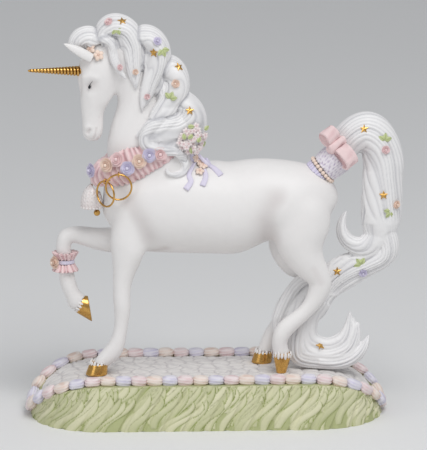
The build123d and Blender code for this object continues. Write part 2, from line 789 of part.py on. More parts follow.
# The collar's roses, along the garland from its front to the mane
COLLAR_ROSES = {
    "lavender": ((-65.5, 118.5), (-45.8, 119.5), (-33.6, 127)),
    "peach": ((-57.4, 121.5), (-39.4, 123.5)),
    "pink": ((-51.6, 124.4), (-27.5, 127.5)),
}
laid = [lower_crest_lock]
for colour, places in COLLAR_ROSES.items():
    roses = group(rose(seat([collar_ruffle], x, level), ROSE_RADIUS, ROSE_HEIGHT) for x, level in places)
    roses = cut_form(roses, *laid)
    laid.append(roses)
    write(roses, f"collar_roses_{colour}")

# The garter on the raised leg: a ribbon between two ruffles, with a rose on its outer side
GARTER_MIDDLE = spot(-81.5, FAR - 2, 62.2)


def garter_ring(rise, low, high, height):
    """A ring round the leg, from its low to its high radius over a height."""
    with BuildPart() as ring:
        for level, radius in ((rise, low), (rise + height, high)):
            with BuildSketch(Plane(GARTER_MIDDLE + Vector(0, 0, level))):
                Circle(radius)
        loft(ruled=True)
        add(raised_foreleg, mode=Mode.SUBTRACT)
    return ring.part


garter_band = garter_ring(-GARTER_BAND / 2, GARTER_CORE, GARTER_CORE, GARTER_BAND)
garter_top = garter_ring(GARTER_BAND / 2, GARTER_CORE, GARTER_RADIUS, GARTER_RUFFLE)
garter_foot = garter_ring(-GARTER_BAND / 2 - GARTER_RUFFLE, GARTER_RADIUS, GARTER_CORE, GARTER_RUFFLE)
garter_ruffles = group([garter_top, garter_foot])
GARTER_FRONT = Vector(-0.87, -0.5, 0)
garter_seat = Plane(GARTER_MIDDLE + GARTER_FRONT * (GARTER_CORE + TRIM_GAP), z_dir=GARTER_FRONT)
garter_rose = cut_form(rose(garter_seat, ROSE_RADIUS, 1.5 * ROSE_HEIGHT), garter_band, garter_ruffles)
write(garter_band, "garter_band")
write(garter_ruffles, "garter_ruffles")
write(garter_rose, "garter_rose")

# The tail's dressing: ribbon, a row of pearls and a lace band round its root
DOCK = spot(63.6, 0, 114.5)
DOCK_RUN = Vector(0.776, 0, 0.631)


def dock_ring(along, low, high, width):
    """A ring round the root of the tail, a way along it."""
    with BuildPart() as ring:
        for step, radius in ((along, low), (along + width, high)):
            with BuildSketch(Plane(DOCK + DOCK_RUN * step, x_dir=(0, 1, 0), z_dir=DOCK_RUN)):
                Circle(radius)
        loft(ruled=True)
        add(torso, mode=Mode.SUBTRACT)
        add(tail_arch, mode=Mode.SUBTRACT)
    return ring.part


tail_ribbon = dock_ring(0, DOCK_RADIUS, DOCK_RADIUS, RIBBON_WIDTH)
lace_start = RIBBON_WIDTH + 2 * PEARL_RADIUS + 2 * TRIM_GAP
tail_lace = dock_ring(lace_start, DOCK_RADIUS, DOCK_RADIUS + PEARL_RADIUS, LACE_WIDTH)
write(tail_ribbon, "tail_ribbon")
write(tail_lace, "tail_lace")
PEARL_COUNT = int(tau * DOCK_RADIUS / (2 * PEARL_RADIUS + TRIM_GAP))
with BuildPart() as tail_pearls:
    pearl_middle = DOCK + DOCK_RUN * (RIBBON_WIDTH + PEARL_RADIUS + TRIM_GAP)
    with Locations(Plane(pearl_middle, x_dir=(0, 1, 0), z_dir=DOCK_RUN)):
        with PolarLocations(DOCK_RADIUS, PEARL_COUNT):
            Sphere(PEARL_RADIUS)
    add(tail_arch, mode=Mode.SUBTRACT)
    add(torso, mode=Mode.SUBTRACT)
write(tail_pearls.part, "tail_pearls")

# The bow: two open ribbon loops from a knot on top of the tail, with one ribbon end
BOW_MIDDLE = spot(75.5, -8.5, 135)
BOW_RUN = Vector(0.6, -0.25, -0.75).normalized()


def bow_loop(way):
    """One loop of ribbon, drawn out from the knot along the bow."""
    middle = BOW_MIDDLE + BOW_RUN * way * (BOW_LOOP * 0.75)
    with BuildPart() as loop:
        with BuildSketch(Plane(middle, x_dir=BOW_RUN, z_dir=DOCK_RUN)):
            Ellipse(BOW_LOOP * 0.62, BOW_LOOP * 0.42)
            Ellipse(BOW_LOOP * 0.62 - BOW_THICKNESS, BOW_LOOP * 0.42 - BOW_THICKNESS, mode=Mode.SUBTRACT)
        extrude(amount=BOW_WIDTH / 2, both=True)
    return loop.part


with BuildPart() as bow_knot:
    with BuildSketch(Plane(BOW_MIDDLE, x_dir=BOW_RUN, z_dir=DOCK_RUN)):
        Ellipse(BOW_LOOP * 0.3, BOW_LOOP * 0.3)
    extrude(amount=BOW_WIDTH / 2 + BOW_THICKNESS, both=True)
    fillet(bow_knot.edges(), radius=BOW_THICKNESS / 2)
    add(tail_arch, mode=Mode.SUBTRACT)
    add(tail_lace, mode=Mode.SUBTRACT)
write(bow_knot.part, "bow_knot")
bow_loops = group(cut_form(bow_loop(way), bow_knot.part, tail_arch, tail_lace) for way in (-1, 1))
write(bow_loops, "bow_loops")

# The bouquet on the withers: open blossoms and leaves over a ribbon whose ends lie on the shoulder
SHOULDER = [torso, neck, lower_crest_lock]
BOUQUET = ((-7.5, 137.5), (-3.4, 141.5), (-12.5, 134.5), (-6.5, 131.5))
BOUQUET_LEAVES = ((-14.5, 139, 150), (-12.8, 130, 200), (-6.5, 128.5, 260))
RIBBON_ENDS = ((-8.5, 120, 250), (-4, 120, 285), (-1, 120, 320))
blossoms = [blossom(seat(SHOULDER, *place), BLOSSOM_RADIUS, BLOSSOM_THICKNESS) for place in BOUQUET]
leaves = [leaf(seat(SHOULDER, *place), LEAF_LENGTH, LEAF_THICKNESS) for place in BOUQUET_LEAVES]
ends = [leaf(seat([torso], *place), RIBBON_END, LEAF_THICKNESS) for place in RIBBON_ENDS]
bouquet_blossoms = cut_form(group(blossoms), *SHOULDER)
bouquet_leaves = cut_form(group(leaves), bouquet_blossoms, *SHOULDER)
bouquet_ribbon = cut_form(group(ends), bouquet_leaves, bouquet_blossoms, *SHOULDER)
write(bouquet_blossoms, "bouquet_blossoms")
write(bouquet_leaves, "bouquet_leaves")
write(bouquet_ribbon, "bouquet_ribbon")


# Stars, rosebuds and leaves set in the mane and the tail
def star(place):
    """A five-pointed star with sloped sides."""
    points = []
    for corner in range(10):
        reach = STAR_RADIUS if corner % 2 == 0 else STAR_RADIUS * 0.48
        points.append((-reach * sin(corner * pi / 5), reach * cos(corner * pi / 5)))
    with BuildPart() as plate:
        with BuildSketch(place):
            Polygon(*points, align=None)
        extrude(amount=STAR_THICKNESS, taper=20)
    return plate.part


MANE = [forelock, poll_lock, upper_crest_lock, middle_crest_lock, lower_crest_lock]
HAIR = [*MANE, tail_arch, tail_fall, tail_sweep, tail_fan]
STARS = (
    (-48.5, 206.5),
    (-31, 187.2),
    (-16, 179),
    (-10, 153),
    (91, 141.5),
    (102.5, 102),
    (76, 57),
    (65.5, 11.5),
)
write(group(star(seat(HAIR, *place)) for place in STARS), "gold_stars")
BUDS = {
    "pink": ((-56.5, 206), (103.5, 129)),
    "lavender": ((-28.5, 194), (91, 56)),
    "peach": ((-18, 169), (110, 96.5)),
}
for colour, places in BUDS.items():
    write(group(rose(seat(HAIR, *place), BUD_RADIUS, BUD_RADIUS) for place in places), f"rosebuds_{colour}")
BUD_LEAVES = (
    (-52.5, 203, 300),
    (-26, 190, 290),
    (-19.5, 165, 250),
    (103, 133.5, 80),
    (107.5, 93, 230),
    (90.5, 60, 130),
)
bud_leaves = group(leaf(seat(HAIR, *place), LEAF_LENGTH, LEAF_THICKNESS) for place in BUD_LEAVES)
write(cut_form(bud_leaves, *HAIR), "rosebud_leaves")

# Two small open flowers at the temple, under the forelock
TEMPLE = ((-66, 190.5), (-62.3, 186))
temple = group(blossom(seat([head, forelock], *place), BLOSSOM_RADIUS, BLOSSOM_THICKNESS) for place in TEMPLE)
write(cut_form(temple, head, forelock, near_ear, neck, side_strand, poll_lock), "temple_blossoms")
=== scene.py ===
"""A porcelain unicorn on a grass mound, built piece by piece from the mound up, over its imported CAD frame."""

import math
import random

import bmesh
import bpy
import numpy as np
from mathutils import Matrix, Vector
from mathutils.bvhtree import BVHTree


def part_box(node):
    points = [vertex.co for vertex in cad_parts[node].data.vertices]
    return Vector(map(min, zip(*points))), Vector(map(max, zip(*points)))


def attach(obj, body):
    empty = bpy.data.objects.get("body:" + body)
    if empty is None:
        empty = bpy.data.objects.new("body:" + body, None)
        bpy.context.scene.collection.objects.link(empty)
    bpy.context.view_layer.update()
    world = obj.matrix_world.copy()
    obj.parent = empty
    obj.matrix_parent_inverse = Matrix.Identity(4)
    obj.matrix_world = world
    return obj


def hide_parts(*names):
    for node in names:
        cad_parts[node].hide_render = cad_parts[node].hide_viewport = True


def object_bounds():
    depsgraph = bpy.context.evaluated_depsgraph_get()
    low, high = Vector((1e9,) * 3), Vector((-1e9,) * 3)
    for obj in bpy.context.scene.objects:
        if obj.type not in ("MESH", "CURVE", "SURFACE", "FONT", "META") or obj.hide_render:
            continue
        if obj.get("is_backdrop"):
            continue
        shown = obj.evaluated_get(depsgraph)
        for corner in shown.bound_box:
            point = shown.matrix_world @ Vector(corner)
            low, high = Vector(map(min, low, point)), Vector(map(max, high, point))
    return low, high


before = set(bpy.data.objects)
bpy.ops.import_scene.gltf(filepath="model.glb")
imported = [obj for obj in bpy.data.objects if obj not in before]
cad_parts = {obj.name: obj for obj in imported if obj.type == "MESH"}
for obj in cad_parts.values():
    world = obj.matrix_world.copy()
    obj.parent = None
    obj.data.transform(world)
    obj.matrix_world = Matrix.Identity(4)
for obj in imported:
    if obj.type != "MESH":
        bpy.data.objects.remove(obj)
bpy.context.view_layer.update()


# The grass mound: slip-cast hollow porcelain, its bank carved all round with overlapping blades that lean
# one way, then washed with green that gathers between the blades, with painted shade on the shadow side
# and towards the root of each blade. The hole below lets the kiln air out.
MM = 0.001
rng = random.Random(7)


def ware(name, light, deep, speckle, detail):
    """A fired coat: light where it stands proud, deep in the hollows (mostly painted shade), with a fine cloud
    to vary it.
    """
    coat = bpy.data.materials.new(name)
    coat.use_nodes = True
    nodes = coat.node_tree.nodes
    links = coat.node_tree.links
    hollow = nodes.new("ShaderNodeAttribute")
    hollow.attribute_name = "hollow"
    pool = nodes.new("ShaderNodeMix")
    pool.data_type = "RGBA"
    pool.inputs["A"].default_value = (*light, 1)
    pool.inputs["B"].default_value = (*deep, 1)
    links.new(hollow.outputs["Fac"], pool.inputs["Factor"])
    place = nodes.new("ShaderNodeTexCoord")
    cloud = nodes.new("ShaderNodeTexNoise")
    cloud.inputs["Scale"].default_value = speckle
    cloud.inputs["Detail"].default_value = detail
    links.new(place.outputs["Object"], cloud.inputs["Vector"])
    vary = nodes.new("ShaderNodeMapRange")
    links.new(cloud.outputs["Fac"], vary.inputs["Value"])
    return coat, nodes, links, pool.outputs["Result"], cloud.outputs["Fac"], vary


def painted(name, light, deep, roughness=0.6, grain=0.05, speckle=300.0):
    """Matte painted ceramic, mottled by its grain."""
    coat, nodes, links, pool, cloud, shade = ware(name, light, deep, speckle, 4.0)
    shade.inputs["To Min"].default_value = 1 - 2 * grain
    shade.inputs["To Max"].default_value = 1 + grain
    tone = nodes.new("ShaderNodeVectorMath")
    tone.operation = "SCALE"
    links.new(pool, tone.inputs["Vector"])
    links.new(shade.outputs["Result"], tone.inputs["Scale"])
    skin = nodes.new("ShaderNodeBump")
    skin.inputs["Strength"].default_value = 0.08
    skin.inputs["Distance"].default_value = 0.0002
    links.new(cloud, skin.inputs["Height"])
    shader = nodes["Principled BSDF"]
    shader.inputs["Roughness"].default_value = roughness
    links.new(tone.outputs["Vector"], shader.inputs["Base Color"])
    links.new(skin.outputs["Normal"], shader.inputs["Normal"])
    return coat


def shape(name, points, faces, coat, body="figure"):
    """A new piece from points in metres."""
    mesh = bpy.data.meshes.new(name)
    mesh.from_pydata([tuple(p) for p in points], [], faces)
    mesh.update()
    made = bpy.data.objects.new(name, mesh)
    bpy.context.collection.objects.link(made)
    mesh.polygons.foreach_set("use_smooth", [True] * len(mesh.polygons))
    mesh.materials.append(coat)
    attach(made, body)
    return made


def stain(made, values):
    """Writes how far each point goes to the deep colour, 0 to 1: mostly painted shade in hollows."""
    layer = made.data.attributes.new("hollow", "FLOAT", "POINT")
    layer.data.foreach_set("value", np.clip(np.asarray(values, np.float32), 0, 1))


def bent_grid(columns, rows, closed=True):
    """Faces of a grid whose points run row by row."""
    faces = []
    for row in range(rows - 1):
        for column in range(columns if closed else columns - 1):
            after = (column + 1) % columns
            low = row * columns
            faces.append((low + column, low + after, low + columns + after, low + columns + column))
    return faces


def tree_of(*pieces):
    """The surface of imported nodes, by name, or of made pieces, to lay things on."""
    clay = bmesh.new()
    for piece in pieces:
        clay.from_mesh(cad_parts[piece].data if isinstance(piece, str) else piece.data)
    tree = BVHTree.FromBMesh(clay)
    clay.free()
    return tree


half_long, half_deep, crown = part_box("grass_mound")[1]
lip = 1.2 * MM
corner = 42 * MM
roll = 42 * MM
roll_end = 101.6 * MM
bank_lean = math.tan(math.radians(16))
blade_count = 470
blade_relief = 1.1 * MM
groove = 0.5 * MM


def crown_height(x):
    """The top of the mound over a place along it."""
    past = np.clip((np.abs(x) - roll_end + roll) / roll, 0, 1)
    return lip + (crown - lip) * np.sqrt(1 - past * past)


def unit(ways):
    """Directions brought to length one."""
    return ways / np.linalg.norm(ways, axis=-1, keepdims=True)


def run_of(line):
    """How far along a line each of its points lies."""
    return np.concatenate([[0], np.cumsum(np.linalg.norm(np.diff(line, axis=0), axis=1))])


def foot_line(count):
    """Points and outward normals round the foot of the mound, evenly spaced."""
    turn = np.arange(4)[:, None] * math.pi / 2 + np.linspace(-math.pi / 2, 0, 120)
    ways = np.stack([np.cos(turn), np.sin(turn)], -1)
    ends = np.array([(1, -1), (1, 1), (-1, 1), (-1, -1)]) * (half_long - corner, half_deep - corner)
    line = np.concatenate([ends[:, None] + corner * ways, ways], 2).reshape(-1, 4)
    line = np.concatenate([line, line[:1]])
    run = run_of(line[:, :2])
    at = np.linspace(0, run[-1], count, endpoint=False)
    place = np.stack([np.interp(at, run, column) for column in line.T], 1)
    return place[:, :2], unit(place[:, 2:]), at, run[-1]


round_count = 1200
bank_rows = 52
foot, foot_out, foot_at, foot_length = foot_line(round_count)
bank_at, bank_up = np.meshgrid(foot_at, np.linspace(0, 1, bank_rows))
relief = np.zeros_like(bank_at)
green_wash_and_shade = np.full_like(bank_at, 0.6)
for start in sorted((rng.uniform(-0.15, 0.72) for blade in range(blade_count)), reverse=True):
    root = rng.uniform(0, foot_length)
    reach = rng.uniform(0.75, 1.1)
    lean = rng.uniform(12, 21) * MM
    curl = rng.uniform(1.6, 3.6) * MM
    width = rng.uniform(2.6, 4.4) * MM
    tint = rng.uniform(0, 0.3)
    along = (bank_up - start) / reach
    middle = root + lean * along - curl * np.sin(math.tau * np.clip(along, 0, 1))
    off = (bank_at - middle + foot_length / 2) % foot_length - foot_length / 2
    half = width * np.sin(math.pi * np.clip(0.15 + 0.85 * along, 0, 1)) ** 0.8
    inside = (along > 0) & (along < 1) & (np.abs(off) < half)
    side = np.clip(off / np.maximum(half, 1e-6), -1, 1)
    lift = (1 - np.abs(side) ** 3) ** 0.6 * (0.4 + 0.6 * along)
    edge = np.exp(-(((1 - np.abs(side)) * half / groove) ** 2)) * np.where(side > 0, 1, 0.45)
    # painted shade: each blade goes darker on its shadow side and towards its root
    shadow = 0.45 * np.clip(side, 0, 1) ** 2 + tint + 0.35 * np.clip(0.5 - along, 0, 1)
    relief = np.where(inside, lift, relief)
    green_wash_and_shade = np.where(inside, np.maximum(edge, shadow), green_wash_and_shade)
bank_top = np.full(round_count, lip)
for turn in range(30):
    bank_top = crown_height(foot[:, 0] - foot_out[:, 0] * bank_top * bank_lean)
bank_height = bank_top[None, :] * bank_up
mound_tree = tree_of("grass_mound")
bank = np.empty((bank_rows, round_count, 3))
for row in range(bank_rows):
    for column in range(round_count):
        way = foot_out[column]
        level = min(max(bank_height[row, column], 0.05 * MM), bank_top[column] - 0.05 * MM)
        start = Vector((*(foot[column] + way * 20 * MM), level))
        hit = mound_tree.ray_cast(start, Vector((*-way, 0)), 30 * MM)
        flat = foot[column] - way * level * bank_lean if hit[0] is None else np.array(hit[0])[:2]
        bank[row, column, :2] = flat - way * blade_relief * (1 - relief[row, column])
bank[:, :, 2] = bank_height
ledge_rows = 12
ledge_wide = 12 * MM
ledge = np.empty((ledge_rows, round_count, 3))
for row in range(ledge_rows):
    share = (row + 1) / ledge_rows
    ledge[row, :, :2] = bank[-1, :, :2] - foot_out * share * ledge_wide
    ledge[row, :, 2] = crown_height(ledge[row, :, 0]) - 0.1 * MM
skin_points = np.concatenate([bank, ledge]).reshape(-1, 3)
grass_coat = painted("grass green", (0.74, 0.72, 0.50), (0.25, 0.31, 0.06), 0.65, 0.05, 160.0)
grass = shape("grass_bank", skin_points, bent_grid(round_count, bank_rows + ledge_rows), grass_coat)
stain(grass, np.concatenate([green_wash_and_shade, np.full((ledge_rows, round_count), 0.5)]).ravel())
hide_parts("grass_mound")

vent_middle = np.array([half_long / 3, 0])
vent_radius = 4 * MM
vent_deep = 6 * MM
under = bmesh.new()
rim = [under.verts.new((x, y, 0)) for x, y in bank[0, ::6, :2]]
hole = []
for turn in math.tau * np.arange(32) / 32:
    way = np.array([math.cos(turn), math.sin(turn)])
    hole.append(under.verts.new((*(vent_middle + vent_radius * way), 0)))
edges = []
for loop in (rim, hole):
    for number, vert in enumerate(loop):
        edges.append(under.edges.new((vert, loop[(number + 1) % len(loop)])))
bmesh.ops.triangle_fill(under, edges=edges, use_beauty=True, use_dissolve=False)
well = bmesh.ops.extrude_edge_only(under, edges=edges[len(rim):])["geom"]
for vert in (item for item in well if isinstance(item, bmesh.types.BMVert)):
    vert.co.z += vent_deep
sole_mesh = bpy.data.meshes.new("mound_sole")
under.to_mesh(sole_mesh)
sole = bpy.data.objects.new("mound_sole", sole_mesh)
bpy.context.collection.objects.link(sole)
sole_mesh.materials.append(painted("bare clay", (0.80, 0.78, 0.74), (0.6, 0.58, 0.55), 0.8))
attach(sole, "figure")
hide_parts("grass_mound")


# The cobbled path: a thin slab of the same casting, pressed all over with small worn stones and left a
# chalky grey. It lies on the crown and rolls down with it at both ends.
def cast(name, nodes, voxel, coat, smooth=3, body="figure", lumps=()):
    """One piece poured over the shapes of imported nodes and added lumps, its edges softened as in a mould."""
    clay = bmesh.new()
    for node in nodes:
        clay.from_mesh(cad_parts[node].data)
    for lump_points, lump_faces in lumps:
        corners = [clay.verts.new(point) for point in lump_points]
        for face in lump_faces:
            clay.faces.new([corners[corner] for corner in face])
    mesh = bpy.data.meshes.new(name)
    clay.to_mesh(mesh)
    made = bpy.data.objects.new(name, mesh)
    bpy.context.collection.objects.link(made)
    pour = made.modifiers.new("pour", "REMESH")
    pour.mode = "VOXEL"
    pour.voxel_size = voxel * MM
    sponge = made.modifiers.new("sponge", "SMOOTH")
    sponge.factor = 0.5
    sponge.iterations = smooth
    poured = bpy.data.meshes.new_from_object(made.evaluated_get(bpy.context.evaluated_depsgraph_get()))
    made.modifiers.clear()
    made.data = poured
    poured.materials.clear()
    poured.materials.append(coat)
    poured.polygons.foreach_set("use_smooth", [True] * len(poured.polygons))
    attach(made, body)
    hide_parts(*nodes)
    return made


def read(made):
    """The points and the normals of a piece."""
    count = len(made.data.vertices)
    points = np.empty(count * 3)
    normals = np.empty(count * 3)
    made.data.vertices.foreach_get("co", points)
    made.data.vertex_normals.foreach_get("vector", normals)
    return points.reshape(-1, 3), normals.reshape(-1, 3)


def put(made, points):
    """Gives a piece its new points."""
    made.data.vertices.foreach_set("co", points.ravel())
    made.data.update()


def nearest_two(points, seeds):
    """Which seed is nearest to each point, how far it is, and how far the next one is."""
    which = np.empty(len(points), int)
    gaps = np.empty((2, len(points)))
    for start in range(0, len(points), 4000):
        part = slice(start, start + 4000)
        gap = np.linalg.norm(points[part, None] - seeds[None], axis=2)
        which[part] = gap.argmin(1)
        gaps[:, part] = np.partition(gap, 1, axis=1)[:, :2].T
    return which, *gaps


def ripple(points, scale, seed):
    """A smooth wavering value from -1 to 1 over a place."""
    wave = random.Random(seed)
    total = np.zeros(len(points))
    for turn in range(5):
        way = np.array([wave.uniform(-1, 1), wave.uniform(-1, 1), wave.uniform(-1, 1)])
        way *= math.tau / (scale * MM * wave.uniform(0.7, 1.4) * np.linalg.norm(way))
        total += np.sin(points @ way + wave.uniform(0, 6))
    return total / 3


path_coat = painted("chalk grey", (0.81, 0.78, 0.76), (0.60, 0.57, 0.57), 0.75, 0.06, 500.0)
path = cast("path_cobbles", ["cobble_path"], 0.7, path_coat, 1)
points, normals = read(path)
cobble_long = 9 * MM
cobble_wide = 6.5 * MM
joint_wide = 0.9 * MM
joint_deep = 0.6 * MM
wear_deep = 0.5 * MM
cobbles = np.array(
    [
        ((column + rng.uniform(-0.4, 0.4)) * cobble_long, (row + rng.uniform(-0.4, 0.4)) * cobble_wide)
        for column in range(-12, 13)
        for row in range(-6, 7)
    ]
)
_, near, second = nearest_two(points[:, :2], cobbles)
joint = np.exp(-(((second - near) / joint_wide) ** 2))
upward = normals[:, 2] > 0.3
swell = np.clip(ripple(points, 7.0, 9), 0, 1) * upward
put(path, points - normals * (joint * upward * joint_deep + swell * wear_deep)[:, None])
stain(path, np.maximum(joint * upward, swell * 0.5))


# The border: lumps of clay in three colours in turn, each pinched by hand and set on the crown beside the
# path, their sides scored like petals.
def solids_of(node):
    """The points of each solid in a node, from the front of the figure backwards."""
    clay = bmesh.new()
    clay.from_mesh(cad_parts[node].data)
    bmesh.ops.remove_doubles(clay, verts=clay.verts, dist=1e-6)
    left = dict.fromkeys(clay.verts)
    solids = []
    while left:
        edge = [left.popitem()[0]]
        island = []
        while edge:
            vert = edge.pop()
            island.append(vert.co[:])
            for link in vert.link_edges:
                other = link.other_vert(vert)
                if other in left:
                    del left[other]
                    edge.append(other)
        solids.append(np.array(island))
    return sorted(solids, key=lambda island: tuple(island.mean(0).round(5)))


def axes(out, along=(0, 0, 1)):
    """Three unit directions: one near along, one across and one outward."""
    out = unit(out)
    along = unit(along - out * (along @ out))
    return along, np.cross(out, along), out


def spread(middle, ways, *places):
    """Points set out from a middle by so much along each of three directions."""
    return middle + np.stack(np.broadcast_arrays(*places), -1).reshape(-1, 3) @ np.array(ways)


def bead(middle, sizes, out=(0, -1, 0), along=(0, 0, 1), sides=14, rings=8):
    """A rounded lump: half sizes along, across and outward."""
    rise = math.pi * np.arange(rings + 1)[:, None] / rings
    turn = math.tau * np.arange(sides) / sides
    long, wide, tall = sizes
    ball = (long * np.sin(rise) * np.cos(turn), wide * np.sin(rise) * np.sin(turn), -tall * np.cos(rise))
    return spread(middle, axes(out, along), *ball), bent_grid(sides, rings + 1)


def heap(name, lumps, coat, body="figure"):
    """Many small lumps of one colour as one piece."""
    points = []
    faces = []
    hollow = []
    for lump_points, lump_faces, *lump_hollow in lumps:
        start = len(points)
        points += list(lump_points)
        hollow += list(lump_hollow[0]) if lump_hollow else [0.0] * len(lump_points)
        faces += [tuple(start + corner for corner in face) for face in lump_faces]
    made = shape(name, points, faces, coat, body)
    stain(made, hollow)
    return made


def remade(name, node, coat, make):
    """One piece in the place of a node, with each of its solids made anew."""
    lumps = []
    for number, island in enumerate(solids_of(node)):
        lumps += make(island, number)
    made = heap(name, lumps, coat)
    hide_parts(node)
    return made


def pebble(middle, sizes, up, along, seed):
    """A pinched block of clay, rounded off and scored round its sides."""
    ball, faces = bead((0, 0, 0), (1, 1, 1), (0, 0, 1), (1, 0, 0), 32, 20)
    block = ball / ((np.abs(ball) ** 4).sum(1) ** 0.15)[:, None]
    score = 0.5 + 0.5 * np.sin(11 * block[:, 2] + 2 * block[:, 0] + seed)
    score = np.clip(score + 0.5 * ripple(block * 3 * MM, 4.0, seed), 0, 1) ** 2
    block *= (1 - 0.09 * score)[:, None]
    # painted shade in the scored grooves, at half strength
    return spread(middle, axes(up, along), *(block * sizes).T), faces, score * 0.5


# Each paint is a light tone and a darker tone of itself; the darker one is painted shade in folds, grooves and
# petal bases.
PAINTS = {
    "pink": ((0.89, 0.69, 0.69), (0.72, 0.45, 0.47)),
    "peach": ((0.91, 0.74, 0.63), (0.78, 0.52, 0.42)),
    "lavender": ((0.74, 0.70, 0.84), (0.54, 0.49, 0.70)),
}
COATS = {colour: painted(colour, *tones) for colour, tones in PAINTS.items()}
STONE_SIZES = ((4.6, 5.3), (3.9, 4.4), (2.8, 3.3))
straight = 67 * MM
pulled_in = 0.9 * MM
chalk = 0.86
chalk_share = 0.45


def border_stone(island, number):
    """A pebble in the place of a packed stone, along the edge of the path."""
    middle = island.mean(0)
    pick = random.Random(number)
    up = np.linalg.svd(island - middle, full_matrices=False)[2][2]
    up = up if up[2] > 0 else -up
    out = middle * (1, 1, 0) - np.clip(middle, -straight, straight) * (1, 0, 0)
    turned = np.array(axes(up, np.cross(up, out)))
    span = (island - middle) @ turned.T
    middle = middle + (span.min(0) + span.max(0)) / 2 @ turned - unit(out) * pulled_in
    sizes = np.array([pick.uniform(*ends) for ends in STONE_SIZES]) * MM
    return [pebble(middle, sizes, up, turned[0], number)]


for colour, (light, deep) in PAINTS.items():
    pale = painted(f"pale {colour}", [(1 - chalk_share) * tone + chalk_share * chalk for tone in light], deep)
    remade(f"border_{colour}", f"border_stones_{colour}", pale, border_stone)

# The body: barrel, neck, head and legs cast apart, luted together and sponged over at every seam, then
# fired once as white bisque with no glaze, so the light goes soft on it.
BODY_NODES = ["torso", "neck", "head", "near_foreleg", "raised_foreleg", "near_hind_leg", "far_hind_leg"]
bisque = painted("white bisque", (0.86, 0.84, 0.83), (0.66, 0.61, 0.60), 0.5, 0.015, 220.0)
body = cast("body", BODY_NODES, 0.6, bisque, 4)
points, normals = read(body)


def luted(points, nodes, reach):
    """How near each point is to a seam between two of the nodes, 0 to 1."""
    trees = [tree_of(node) for node in nodes]
    seam = np.zeros(len(points))
    for number, point in enumerate(points):
        hits = [tree.find_nearest(point, reach)[3] for tree in trees]
        gaps = sorted(gap for gap in hits if gap is not None)
        if len(gaps) > 1:
            seam[number] = 1 - gaps[1] / reach
    return seam


def sponge(made, points, share, passes):
    """Smooths the points, each by its own share."""
    edges = np.empty(len(made.data.edges) * 2, np.int64)
    made.data.edges.foreach_get("vertices", edges)
    edges = edges.reshape(-1, 2)
    count = len(points)
    links = np.bincount(edges.ravel(), minlength=count)
    for turn in range(passes):
        total = np.empty_like(points)
        for k in range(3):
            total[:, k] = np.bincount(edges[:, 0], points[edges[:, 1], k], count)
            total[:, k] += np.bincount(edges[:, 1], points[edges[:, 0], k], count)
        points = points + (total / links[:, None] - points) * (share * 0.6)[:, None]
    return points


share = np.clip(luted(points, BODY_NODES, 7 * MM) * 1.6, 0, 1)
put(body, sponge(body, points, share, 90))
points, normals = read(body)
body_tree = tree_of(body)


def touch(tree, x, z, side):
    """The place on a surface straight in from a side, given in millimetres along and up."""
    start = Vector((x * MM, side * 0.2, z * MM))
    hit = tree.ray_cast(start, Vector((0, -side, 0)))
    if hit[0] is None:
        hit = tree.find_nearest(start * Vector((1, 0.05, 1)))
    return np.array(hit[0])


def laid(x, z, tree, slope=0.231):
    """The place on a surface that the camera sees over a point of the middle plane, and its normal."""
    hit = tree.ray_cast(Vector((x * MM, -0.2, z * MM + 0.2 * slope)), Vector((0, 1, -slope)))
    if hit[0] is None:
        hit = tree.find_nearest(Vector((x * MM, -0.01, z * MM)))
    return np.array(hit[0]), np.array(hit[1])


def press(points, line, width, depth):
    """How far a tool drawn along a line presses each point, fading over its width in millimetres."""
    line = np.asarray(line)
    best = np.full(len(points), 1e9)
    for a, b in zip(line[:-1], line[1:]):
        run = b - a
        along = np.clip((points - a) @ run / max(run @ run, 1e-12), 0, 1)
        best = np.minimum(best, np.linalg.norm(points - a - along[:, None] * run, axis=1))
    return depth * MM * np.exp(-((best / (width * MM)) ** 2))


STROKES = (
    (((-67.5, 196.2), (-65.5, 197.2)), 3.2, 0.75),
    (((-71, 201), (-67, 202.5), (-63.5, 201.5)), 1.8, -0.5),
    (((-66.5, 190), (-65, 182), (-64, 177)), 2.4, -0.35),
    (((-72.5, 204), (-72.2, 197), (-72.5, 190)), 1.3, 0.35),
    (((-68.6, 168.6), (-67.6, 170)), 1.1, 0.9),
    (((-70, 171.5), (-68, 172)), 1.3, -0.35),
    (((-65, 163), (-64, 167), (-63.4, 171)), 0.6, 0.45),
    (((-60, 181), (-58.5, 186), (-54, 191)), 3.0, -0.5),
    (((-46, 130), (-38, 118), (-34, 108)), 6.0, 0.6),
    (((-50, 121), (-47, 108), (-42, 99)), 6.0, -0.5),
    (((-36, 94), (-30, 98), (-24, 100)), 3.0, 0.7),
    (((36, 106), (35, 118), (40, 130)), 7.0, 0.8),
    (((44, 121), (52, 126), (60, 124)), 8.0, -0.6),
    (((62, 88), (66, 80)), 2.5, 0.35),
)
moved = np.zeros(len(points))
for places, width, depth in STROKES:
    for side in (-1, 1):
        line = [touch(body_tree, x, z, side) for x, z in places]
        moved += press(points, line, width, depth)
put(body, points - normals * moved[:, None])
# painted shade: the pressed hollows (eye sockets, nostrils, grooves) darken with their depth
stain(body, np.clip(moved / (1.2 * MM), 0, 0.6))


# The eyes: two dots of black enamel in pressed sockets, each with one fine lash drawn out behind it by the
# tip of a brush.
HEAD_TURN = math.radians(13)
NAPE = np.array([-52.0, 0.0])


def mirrored(place):
    """The same place on the other cheek of the turned head, in millimetres."""
    across = np.array([-math.sin(HEAD_TURN), math.cos(HEAD_TURN)])
    flat = place[:2] - 2 * ((place[:2] - NAPE) @ across) * across
    return np.array([*flat, place[2]])


def capped(sides, rows):
    """Faces of a cord made of rings, closed at both ends."""
    last = sides * (rows - 1)
    return [*bent_grid(sides, rows), tuple(range(sides))[::-1], tuple(range(last, last + sides))]


